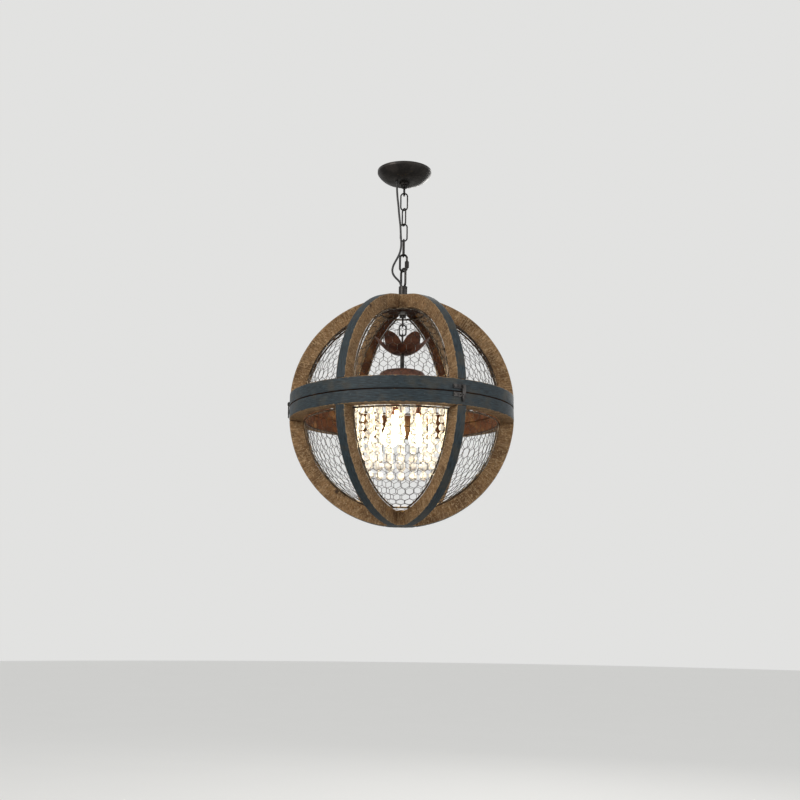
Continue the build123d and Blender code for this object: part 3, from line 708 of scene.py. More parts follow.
# ------------------------------------------------------------------ wooden cage
@dataclass
class Section:
    """A rectangular timber section with rounded arrises, run round from the middle of its
    inner face. Across is the width and out is the depth, both from the section's centre."""

    width: float
    depth: float
    corner: float = 1.7 * MM
    flat_steps: int = 7
    corner_steps: int = 4
    across: Points = field(init=False)
    out: Points = field(init=False)
    normal: Points = field(init=False)
    run: Points = field(init=False)
    edge: Points = field(init=False)
    outer: Points = field(init=False)
    inner: Points = field(init=False)

    def __post_init__(self) -> None:
        """Corners are quarter circles and flats are straight, each cut into even steps."""
        half_w, half_d = self.width / 2 - self.corner, self.depth / 2 - self.corner
        centres = np.array([(half_w, -half_d), (half_w, half_d),
                            (-half_w, half_d), (-half_w, -half_d)])
        starts = np.radians([-90, 0, 90, 180])
        pieces, normals = [], []
        for i in range(4):
            turn = starts[i] + np.linspace(0, math.pi / 2, self.corner_steps + 1)
            ring = np.stack([np.cos(turn), np.sin(turn)], -1)
            corner = centres[i] + self.corner * ring
            following = centres[(i + 1) % 4] + self.corner * ring[-1]
            share = np.linspace(0, 1, self.flat_steps + 1)[1:-1, None]
            flat = corner[-1] * (1 - share) + following * share
            pieces += [corner, flat]
            normals += [ring, np.broadcast_to(ring[-1], flat.shape)]
        outline, normal = np.concatenate(pieces), np.concatenate(normals)
        middle = -(self.flat_steps // 2 + 1)
        outline, normal = np.roll(outline, -middle, axis=0), np.roll(normal, -middle, axis=0)
        self.across, self.out = outline.T
        self.normal = normal
        steps = np.linalg.norm(np.diff(np.concatenate([outline, outline[:1]]), axis=0), axis=1)
        self.run = np.concatenate([[0], np.cumsum(steps)])
        to_side, to_face = self.width / 2 - np.abs(self.across), self.depth / 2 - np.abs(self.out)
        apart, beside = np.minimum(to_side, to_face), np.maximum(to_side, to_face)
        fade = np.exp(-np.maximum(beside - self.corner * 0.3, 0) / (2.2 * MM))
        self.edge = fade * (apart < 1 * MM)
        self.outer = (normal[:, 1] > 0.6).astype(float)
        self.inner = (normal[:, 1] < -0.6).astype(float)

    def carved(self, centre_line: Points, across: Points, out: Points, inset: Points,
               seed: int) -> Points:
        """Carries the section along a line and lets its surface sink a little, as planed and
        worn wood does: broad waves all over, and dents where noise is high on an arris.

        Args:
            centre_line: Middle of the section at each station, shaped (n, m, 3) or (n, 1, 3).
            across: Unit direction of the width at each station, shaped like the line.
            out: Unit direction of the depth at each station, shaped like the line.
            inset: Depth to draw the section in at each station, shaped (n, 1).
            seed: Start of the random draws.

        Returns:
            Points shaped (n, m, 3).
        """
        flat = centre_line + self.across[None, :, None] * across + self.out[None, :, None] * out
        facing = self.normal[None, :, :1] * across + self.normal[None, :, 1:] * out
        sink = 0.10 * MM * (1 + ripple(flat, 45 * MM, seed)).clip(0)
        sink += 0.04 * MM * (1 + ripple(flat, 7 * MM, seed + 1)).clip(0)
        dent = (ripple(flat, 15 * MM, seed + 2) - 0.55).clip(0, 1.2)
        ragged = (ripple(flat, 4 * MM, seed + 3) * 0.3 + 0.7).clip(0, 1)
        sink += (0.15 + 0.75 * dent) * MM * self.edge[None, :] * ragged
        return flat - (sink + inset)[..., None] * facing


@dataclass
class Cage:
    """Hoops, ribs and hubs of both half shells, all of one weathered timber. A rib's sides
    follow two arcs about a centre a little above the seam plane, cut off flat on the hoop
    and round at the hub."""

    finishes: Finishes
    orb_r: float = 254 * MM
    depth: float = 33 * MM
    rib_width: float = 23.5 * MM
    hoop_height: float = 28 * MM
    seam_gap: float = 1 * MM
    arc_rise: float = 12 * MM
    hub_r: float = 37 * MM
    bore_r: float = 5.4 * MM
    clear: float = 0.12 * MM

    @property
    def hoop_top(self) -> float:
        """Height of the hoop's far face from the seam plane."""
        return self.seam_gap / 2 + self.hoop_height

    @property
    def rib_outer_r(self) -> float:
        """Radius of a rib's outer arc, which ends on the hoop's outer corner."""
        return math.hypot(self.orb_r, self.hoop_top - self.arc_rise)

    @property
    def rib_inner_r(self) -> float:
        """Radius of a rib's inner arc."""
        return self.rib_outer_r - self.depth

    @staticmethod
    def end_inset(run: Points, total: float) -> Points:
        """Depth of the rounding at both cut ends: a quarter circle of the distance from
        the nearer end."""
        reach = 1.1 * MM
        near = np.minimum(run, total - run).clip(0, reach)
        return 0.7 * (reach - np.sqrt(reach ** 2 - (reach - near) ** 2))

    def stations(self, count: int, total: float) -> Points:
        """Shares of the way along a timber, with extra ones close to its rounded ends."""
        near = np.array([0.0, 0.15, 0.4, 0.75, 1.2]) * MM / total
        return np.concatenate([near, np.linspace(0, 1, count)[1:-1], 1 - near[::-1]])

    def rib(self, half: Half, number: int) -> bpy.types.Object:
        """One rib. In its radial plane a point stands at the angle between the foot's and
        the hub's cut, and at the radius of its place in the section.

        Args:
            half: The half shell.
            number: The rib, from 1.

        Returns:
            The rib's object.
        """
        section = Section(self.rib_width - 2 * self.clear, self.depth - 2 * self.clear)
        angle = FIRST_RIB + (number - 1) * RIB_STEP
        radius = self.rib_outer_r - self.depth / 2 + section.out
        foot = np.arcsin((self.hoop_top + self.clear - self.arc_rise) / radius)
        cut = np.sqrt(self.hub_r ** 2 - section.across ** 2) + self.clear
        tip = np.arccos(cut / radius)
        total = self.rib_outer_r * float(np.mean(tip - foot))
        share = self.stations(110, total)
        turn = foot + share[:, None] * (tip - foot)
        radial = np.array([math.cos(angle), math.sin(angle), 0])
        aside = np.array([-math.sin(angle), math.cos(angle), 0])
        out = np.cos(turn)[..., None] * radial + np.sin(turn)[..., None] * np.array([0, 0, 1.0])
        line = (self.rib_outer_r - self.depth / 2) * out + np.array([0, 0, self.arc_rise])
        seed = 100 * number + int(half.sign)
        inset = self.end_inset(share * total, total)[:, None]
        points = section.carved(line, np.broadcast_to(aside, out.shape), out, inset, seed)
        points[..., 2] = SEAM_Z + half.sign * points[..., 2]
        shift = 0.61 * number + (0.31 if half is Half.LOWER else 0.0)
        return self.timber_piece(f"{half.word}_rib_timber_{number}", points, section,
                                 share * total + shift, False, half, f"{half.word}_rib_{number}")

    def hoop(self, half: Half) -> bpy.types.Object:
        """A hoop: its section turned a whole turn about the orb's axis.

        Args:
            half: The half shell.

        Returns:
            The hoop's object.
        """
        section = Section(self.hoop_height - 2 * self.clear, self.depth - 2 * self.clear)
        middle = self.orb_r - self.depth / 2
        count = 420
        turn = np.radians(52) + circle(count)
        out = np.stack([np.cos(turn), np.sin(turn), np.zeros(count)], -1)[:, None, :]
        height = self.seam_gap / 2 + self.hoop_height / 2
        line = middle * out + np.array([0, 0, height])
        seed = 7 if half is Half.UPPER else 9
        points = section.carved(line, np.array([0, 0, 1.0]), out, np.zeros((count, 1)), seed)
        points[..., 2] = SEAM_Z + half.sign * points[..., 2]
        run = np.arange(count + 1) * (2 * math.pi * middle / count) + 5.3 * (1.5 - half.sign)
        return self.timber_piece(f"{half.word}_hoop_timber", points, section, run, True, half,
                                 f"{half.word}_hoop")

    def timber_piece(self, name: str, points: Points, section: Section, run: Points, ring: bool,
                     half: Half, node: str) -> bpy.types.Object:
        """Makes the mesh of a rib or hoop, with its UV in metres along and round it.

        Args:
            name: Piece name.
            points: Rings of points, shaped (n, m, 3).
            section: The section that was carried.
            run: Length along the piece at each row line.
            ring: Whether the last row joins the first.
            half: The half shell that it rides on.
            node: The CAD node that it stands for.

        Returns:
            The object.
        """
        rows, cols = points.shape[:2]
        ends = () if ring else (range(cols)[::-1], range((rows - 1) * cols, rows * cols))
        # At the seam the hoops' faces take the inner faces' dark stain, and their outer arris no
        # wear: painted shade in the gap between the two hoops.
        seam = (section.across < 0) & (ring and node.endswith("hoop"))
        masks = {"edge": np.where(seam & (section.out > 0), 0.0, section.edge),
                 "paint": section.outer,
                 "inner": np.where(seam & (section.normal[:, 0] < -0.6), 1.0, section.inner)}
        values = {key: np.broadcast_to(mask, (rows, cols)) for key, mask in masks.items()}
        piece = make_piece(name, points, grid_faces(rows, cols, ring, True),
                           self.finishes.timber(), caps=ends,
                           uv=grid_uv(run, section.run), values=values, sharp=70)
        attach(piece, half.body)
        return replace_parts(piece, node)

    def hub(self, half: Half) -> bpy.types.Object:
        """A hub: a short bored drum with rounded arrises, painted on its outer end.

        Args:
            half: The half shell.

        Returns:
            The hub's object.
        """
        low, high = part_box(f"{half.word}_hub")
        foot, top = (low[2], high[2]) if half is Half.UPPER else (high[2], low[2])
        section = Section(self.hub_r - self.bore_r - 2 * self.clear,
                          abs(top - foot) - 2 * self.clear)
        count = 96
        turn = circle(count)
        radial = np.stack([np.cos(turn), np.sin(turn), np.zeros(count)], -1)[:, None, :]
        rise = np.array([0, 0, half.sign])
        line = radial * (self.hub_r + self.bore_r) / 2 + np.array([0, 0, (foot + top) / 2])
        points = section.carved(line, radial, rise, np.zeros((count, 1)), 31)
        run = np.arange(count + 1) * (2 * math.pi * self.hub_r / count)
        return self.timber_piece(f"{half.word}_hub_timber", points, section, run, True, half,
                                 f"{half.word}_hub")

    def build(self) -> None:
        """Builds both half shells."""
        for half in Half:
            self.hoop(half)
            self.hub(half)
            for number in GORES:
                self.rib(half, number)


# ------------------------------------------------------------------ wire netting
@dataclass
class Netting:
    """Hexagonal wire netting on a sphere inside the ribs. In each gore the cells are laid
    out flat, with a metre of height on the middle meridian and of width across it, and the
    flat sheet is wrapped on the sphere: a point is the radius times (cos t cos s, sin t,
    cos t sin s), with s and t its height and width over the radius."""

    finishes: Finishes
    radius: float = 219.35 * MM
    rise: float = 12 * MM
    pitch: float = 19 * MM
    row: float = 22 * MM
    twist: float = 14.6 * MM
    wire_r: float = 0.5 * MM
    edge: float = 11.75 * MM
    foot: float = 30.6 * MM
    ring_r: float = 50 * MM

    def on_sphere(self, width: Points, height: Points, angle: float) -> Points:
        """Wraps flat places on the upper sphere in the gore at an angle."""
        s, t = height / self.radius, width / self.radius
        x, y, z = np.cos(t) * np.cos(s), np.sin(t), np.cos(t) * np.sin(s)
        c, d = math.cos(angle), math.sin(angle)
        place = np.stack([x * c - y * d, x * d + y * c, z], -1)
        return self.radius * place + np.array([0, 0, self.rise])

    def inside(self, width: Points, height: Points) -> np.ndarray:
        """Whether flat places lie between the rods of two ribs, the hoop and the hub ring."""
        place = self.on_sphere(width, height, 0.0)
        half = RIB_STEP / 2
        off = place[..., 0] * math.sin(half) - np.abs(place[..., 1]) * math.cos(half)
        reach = np.hypot(place[..., 0], place[..., 1])
        return (off > self.edge) & (place[..., 2] > self.foot) & (reach > self.ring_r)

    def clipped(self, start: Points, end: Points) -> tuple[Points, Points]:
        """Shortens straight flat runs to the part inside the gore, found on fine samples.

        Args:
            start: Flat start of each run, shaped (n, 2).
            end: Flat end of each run.

        Returns:
            The starts and ends of the runs that have such a part.
        """
        share = np.linspace(0, 1, 65)
        line = start[:, None] + (end - start)[:, None] * share[None, :, None]
        within = self.inside(line[..., 0], line[..., 1])
        first, last = within.argmax(1), 64 - within[:, ::-1].argmax(1)
        keep = within.any(1) & (last - first > 5)
        move = (end - start)[keep]
        return (start[keep] + move * share[first[keep], None],
                start[keep] + move * share[last[keep], None])

    def tubes(self, start: Points, end: Points, steps: int, sides: int, reach: float, flat: float,
              turns: float, angle: float, bow: float, seed: int) -> tuple[Points, np.ndarray]:
        """Elliptical tubes along flat runs, each turned about itself and pushed a little
        outwards in its middle.

        Args:
            start: Flat starts.
            end: Flat ends.
            steps: Stations along a run.
            sides: Points in a ring.
            reach: Long radius of the ellipse.
            flat: Its short radius over the long one.
            turns: Turns of the ellipse along a full twist.
            angle: Angle of the gore.
            bow: Height of the push outwards.
            seed: Start of the random draws.

        Returns:
            Points, and the quads that join them, with closed ends.
        """
        share = np.linspace(0, 1, steps)
        flat_line = start[:, None] + (end - start)[:, None] * share[None, :, None]
        line = self.on_sphere(flat_line[..., 0], flat_line[..., 1], angle)
        outwards = unit(line - np.array([0, 0, self.rise]))
        jitter = 1 + 0.6 * ripple(line[:, :1], 60 * MM, seed)
        line = line + outwards * (bow * jitter * np.sin(math.pi * share))[..., None]
        shift = ripple(line, 90 * MM, seed + 1) * 0.5 * MM
        line = line + outwards * shift[..., None]
        long = np.linalg.norm(end - start, axis=1)[:, None]
        turn = 2 * math.pi * turns * share[None] * long / self.twist
        ring = tube_points(line, reach, sides, outwards, flat, turn)
        one = np.concatenate([grid_faces(steps, sides, False, True),
                              end_caps(sides, (steps - 1) * sides)])
        offset = np.arange(len(line))[:, None, None] * (steps * sides)
        return ring.reshape(-1, 3), (one[None] + offset).reshape(-1, 4)

    def gore(self, half: Half, number: int) -> bpy.types.Object:
        """The netting of one gore: upright oval tubes turned about themselves, as two twisted
        wires look, and single wires from the top of each to the feet of the two above it.

        Args:
            half: The half shell.
            number: The gore, from 1.

        Returns:
            The netting's object.
        """
        angle = FIRST_RIB + (number - 0.5) * RIB_STEP
        rows, cols = np.meshgrid(np.arange(-1, 18), np.arange(-8, 9), indexing="ij")
        x = (cols + 0.5 * (rows % 2)).ravel() * self.pitch
        y = rows.ravel() * self.row + 15 * MM

        def bent(width: Points, height: Points) -> Points:
            """Widths moved a little aside, each by the noise at its own place."""
            place = np.stack([width, height, np.full(width.shape, angle)], -1)
            return width + 0.9 * MM * ripple(place, 50 * MM, 5 * number + int(half.sign))

        top = np.stack([bent(x, y), y + self.twist], -1)
        twists = self.clipped(np.stack([bent(x, y), y], -1), top)
        wires = [self.tubes(*twists, 8, 6, 1.75 * self.wire_r, 0.5, 1.6, angle, 0.15 * MM, number)]
        above = y + self.row
        for side in (-0.5, 0.5):
            ends = np.stack([bent(x + side * self.pitch, above), above], -1)
            runs = self.clipped(top, ends)
            wires.append(
                self.tubes(*runs, 5, 6, self.wire_r, 1.0, 0.0, angle, 0.1 * MM, number + 50))
        counts = np.cumsum([0] + [len(points) for points, _ in wires])
        points = np.concatenate([points for points, _ in wires])
        faces = np.concatenate([quads + before for (_, quads), before in zip(wires, counts)])
        points[:, 2] = SEAM_Z + half.sign * points[:, 2]
        piece = make_piece(f"{half.word}_netting_{number}", points, faces,
                           self.finishes.metal(BRONZE_WIRE))
        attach(piece, half.body)
        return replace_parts(piece, f"{half.word}_mesh")

    def build(self) -> None:
        """Builds the netting of all gores."""
        for half in Half:
            for number in GORES:
                self.gore(half, number)


# ------------------------------------------------------------------ chain and cord
@dataclass
class Chain:
    """Oval links of round wire, each with a weld on one side. A link's centre line is two
    straight sides joined by half circles, in an upright plane turned about the axis."""

    finishes: Finishes
    wire_r: float = 1.75 * MM
    width: float = 19 * MM
    count: int = 72
    sides: int = 16

    def oval(self, width: float, low: float, high: float, turn: float, wire_r: float) -> Points:
        """Even points on the centre line of an upright oval loop.

        Args:
            width: Outer width.
            low: Height of its lowest point.
            high: Height of its highest point.
            turn: Turn of its plane from the front, in degrees.
            wire_r: Radius of the wire.

        Returns:
            Points shaped (n, 3), without the first again.
        """
        reach = width / 2 - wire_r
        straight = (high - low) / 2 - width / 2
        total = 4 * straight + 2 * math.pi * reach
        run = np.arange(self.count) * (total / self.count)
        half = math.pi * reach
        bend = np.clip(run - straight, 0, half) / reach
        back = np.clip(run - straight - half, 0, 2 * straight)
        other = np.clip(run - straight - half - 2 * straight, 0, half) / reach
        last = np.clip(run - straight - 2 * half - 2 * straight, 0, straight)
        x = reach * np.cos(bend + other)
        y = np.minimum(run, straight) - back + last + reach * np.sin(bend + other)
        a = math.radians(turn)
        return np.stack([x * math.cos(a), x * math.sin(a), (low + high) / 2 + y], -1)

    def link(self, node: str, body: str, turn: float) -> bpy.types.Object:
        """A link in the place of its CAD node, with a ring of weld on one straight side.

        Args:
            node: The CAD node.
            body: The body that it rides on.
            turn: Turn of its plane from the front, in degrees.

        Returns:
            The link's object.
        """
        low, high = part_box(node)
        path = self.oval(self.width, low[2], high[2], turn, self.wire_r)
        away = np.linalg.norm(path - path[self.count // 2], axis=1)
        swell = 0.07 * np.exp(-(away / (1.3 * MM)) ** 2)
        groove = 0.05 * np.exp(-((away - 2.2 * MM) / (0.6 * MM)) ** 2)
        reach = self.wire_r * (0.985 + (swell - groove))
        a = math.radians(turn)
        aside = np.array([-math.sin(a), math.cos(a), 0.0])
        radius = np.concatenate([reach[-1:], reach, reach[:1]])
        line = np.concatenate([path[-1:], path, path[:1]])
        rings = tube_points(line, radius, self.sides, aside)[1:-1]
        quads = grid_faces(self.count, self.sides, True, True)
        piece = make_piece(f"{node}_wire", rings, quads, self.finishes.metal(BLACK_IRON))
        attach(piece, body)
        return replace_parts(piece, node)

    def build(self) -> None:
        """Builds the four chain links and the inner link."""
        for number, turn in ((1, -80), (2, 0), (3, -60), (4, 0)):
            self.link(f"chain_link_{number}", f"link_{number}", turn)
        self.link("inner_link", "inner_link", 0)


@dataclass
class PowerCord:
    """The supply cord, from the gland in the collar up beside the chain to the canopy. Its
    line is one spline through the chain's whole height. It is made in lengths that meet
    between the chain's joints, and each length runs across one joint."""

    finishes: Finishes
    radius: float = 2.4 * MM
    joint_heights: tuple[float, ...] = (328.8, 364.25, 402.25, 440.25, 478.25, 515.5)
    bodies: tuple[str, ...] = (
        "orb", "quick_link", "link_1", "link_2", "link_3", "link_4", "ceiling")
    route: tuple[tuple[float, float, float], ...] = (
        (-5.2, -3.8, 291.8), (-6.2, -4.8, 299.4), (-12.0, -6.0, 306.0), (-20.5, -7.0, 314.0),
        (-26.0, -7.5, 324.5), (-24.5, -7.4, 338.5), (-16.6, -7.0, 354.0), (-8.4, -6.6, 370.0),
        (-5.0, -6.4, 390.0), (-6.8, -6.2, 413.0), (-7.8, -6.4, 438.0), (-11.2, -6.6, 463.0),
        (-13.2, -7.4, 488.0), (-16.6, -8.8, 513.0), (-17.6, -10.0, 541.0))

    def line(self) -> Points:
        """Points of the route's smooth spline, read from the curve itself."""
        curve = bpy.data.curves.new("cord_route", "CURVE")
        curve.dimensions = "3D"
        curve.resolution_u = 16
        spline = curve.splines.new("NURBS")
        spline.points.add(len(self.route) - 1)
        for point, (x, y, rise) in zip(spline.points, self.route):
            point.co = (x * MM, y * MM, SEAM_Z + rise * MM, 1)
        spline.order_u = 3
        spline.use_endpoint_u = True
        holder = bpy.data.objects.new("cord_route", curve)
        bpy.context.scene.collection.objects.link(holder)
        bpy.context.view_layer.update()
        read = bpy.data.meshes.new_from_object(holder)
        points = np.zeros(len(read.vertices) * 3)
        read.vertices.foreach_get("co", points)
        bpy.data.objects.remove(holder)
        bpy.data.meshes.remove(read)
        return points.reshape(-1, 3)

    def build(self) -> None:
        """Cuts the line half way between neighbouring joints, and tubes each length."""
        line = self.line()
        heights = (line[:, 2] - SEAM_Z) / MM
        halves = [(a + b) / 2 for a, b in zip(self.joint_heights, self.joint_heights[1:])]
        cuts = [0] + [int(np.searchsorted(heights, half)) for half in halves] + [len(line) - 1]
        for number, (first, last) in enumerate(zip(cuts, cuts[1:])):
            path = line[first:last + 1]
            piece = make_tube(f"cord_length_{number + 1}", path, self.radius, 18,
                              np.array([0.0, -1.0, 0.0]), self.finishes.metal(CORD_JACKET))
            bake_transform(piece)
            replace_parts(piece, "power_cord")


# ------------------------------------------------------------------ crystal fixture
@dataclass
class Crystals:
    """Two rings of strands: octagon beads over a round drop, all cut glass, on steel pins.
    A bead is an octagon girdle between two smaller octagons, and a drop is a ball of flat
    facets. Each strand's glass is turned a little at random about its pin."""

    finishes: Finishes
    bead_r: float = 7.9 * MM
    bead_t: float = 6.4 * MM
    ball_r: float = 9.95 * MM
    pitch: float = 18.4 * MM
    ring_foot: float = 44 * MM

    def bead(self) -> tuple[Points, np.ndarray]:
        """One octagon bead: four octagons along its thickness, closed by the end faces."""
        turn = (np.arange(8) + 0.5) * (math.pi / 4)
        reach = np.array([0.52, 1.0, 1.0, 0.52])[:, None] * self.bead_r
        deep = np.broadcast_to(np.array([-0.5, -0.09, 0.09, 0.5])[:, None] * self.bead_t, (4, 8))
        ring = np.stack([reach * np.cos(turn), deep, reach * np.sin(turn)], -1)
        quads = np.concatenate([grid_faces(4, 8, False, True), end_caps(8, 24)])
        return ring.reshape(-1, 3), quads

    def drop(self) -> tuple[Points, np.ndarray]:
        """One faceted ball: rings of ten points, each half a step round from the last."""
        lift = np.radians([-80, -52, -18, 18, 52, 80])[:, None]
        turn = (np.arange(10)[None] + 0.5 * (np.arange(6) % 2)[:, None]) * (math.pi / 5)
        ring = self.ball_r * np.stack([np.cos(lift) * np.cos(turn), np.cos(lift) * np.sin(turn),
                                       np.broadcast_to(np.sin(lift), (6, 10))], -1)
        row, col = np.arange(5)[:, None] * 10, np.arange(10)[None]
        even = (np.arange(5) % 2 == 0)[:, None, None]
        a, b = row + col, row + (col + 1) % 10
        c, d = b + 10, a + 10
        first = np.where(even, np.stack([a, b, d, d], -1), np.stack([a, b, c, c], -1))
        second = np.where(even, np.stack([b, c, d, d], -1), np.stack([a, c, d, d], -1))
        quads = [first.reshape(-1, 4), second.reshape(-1, 4), end_caps(10, 50)]
        return ring.reshape(-1, 3), np.concatenate(quads)

    def curtain(self, node: str, radius: float, count: int, foot: float, seed: int) -> None:
        """One ring of strands in the place of its CAD node.

        Args:
            node: The CAD node, which names the pieces.
            radius: Reach of the strands from the axis.
            count: Number of strands.
            foot: Height of the drops' middle from the seam plane.
            seed: Start of the random draws.
        """
        draw = np.random.default_rng(seed)
        angle = circle(count)
        heights = [foot + self.ball_r + 9 * MM]
        while heights[-1] + self.pitch + 7.5 * MM < self.ring_foot:
            heights.append(heights[-1] + self.pitch)
        bead, bead_faces = self.bead()
        ball, ball_faces = self.drop()
        places = [(a, h, bead, bead_faces, 0.35) for a in angle for h in heights]
        places += [(a, foot, ball, ball_faces, 1.5) for a in angle]
        points, faces, before = [], [], 0
        for a, height, shape, quads, loose in places:
            turn = a - math.pi / 2 + draw.uniform(-loose, loose)
            c, s = math.cos(turn), math.sin(turn)
            points.append(shape @ np.array([[c, s, 0], [-s, c, 0], [0, 0, 1]]) +
                          np.array([radius * math.cos(a), radius * math.sin(a), SEAM_Z + height]))
            faces.append(quads + before)
            before += len(shape)
        glass = make_piece(f"{node}_glass", np.concatenate(points), np.concatenate(faces),
                           self.finishes.crystal(), sharp=1)
        glass.visible_shadow = False
        pins = self.pins(node, radius, angle, heights, foot)
        for piece in (glass, pins):
            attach(piece, "lamp")
            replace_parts(piece, node)

    def pins(self, node: str, radius: float, angle: Points, heights: Sequence[float],
             foot: float) -> bpy.types.Object:
        """Steel pins between the glass: short upright wires, a little bowed to one side.

        Args:
            node: The CAD node, which names the piece.
            radius: Reach of the strands from the axis.
            angle: Angle of each strand.
            heights: Height of each bead's middle.
            foot: Height of the drop's middle.

        Returns:
            The pins' object.
        """
        sunk, steps, sides = 2.2 * MM, 5, 5
        starts = [foot + self.ball_r - 1.2 * MM] + [low + self.bead_r - sunk for low in heights]
        ends = [high - self.bead_r + sunk for high in heights] + [self.ring_foot + 1 * MM]
        share = np.linspace(0, 1, steps)
        spans = np.array([low + (high - low) * share for low, high in zip(starts, ends)])
        bow = 0.5 * MM * np.sin(math.pi * share)
        out = np.stack([np.cos(angle), np.sin(angle)], -1)[:, None, None, :]
        flat = out * (radius + bow)[None, None, :, None]
        shape = (len(angle), len(spans), steps)
        upright = np.broadcast_to(SEAM_Z + spans[None, ..., None], (*shape, 1))
        lines = np.concatenate([np.broadcast_to(flat, (*shape, 2)), upright], -1)
        lines = lines.reshape(-1, steps, 3)
        rings = tube_points(lines, 0.45 * MM, sides, np.array([1.0, 0.3, 0.0]))
        cap = np.array([[0, 4, 3, 3], [0, 3, 2, 1]])
        one = np.concatenate([grid_faces(steps, sides, False, True), cap,
                              cap[:, ::-1] + (steps - 1) * sides])
        offset = np.arange(len(lines))[:, None, None] * (steps * sides)
        faces = (one[None] + offset).reshape(-1, 4)
        return make_piece(f"{node}_pins", rings, faces, self.finishes.metal(PIN_STEEL))

    def build(self) -> None:
        """Builds both rings of strands."""
        self.curtain("outer_strands", 104 * MM, 24, -140.3 * MM, 11)
        self.curtain("inner_strands", 70 * MM, 16, -121.9 * MM, 12)


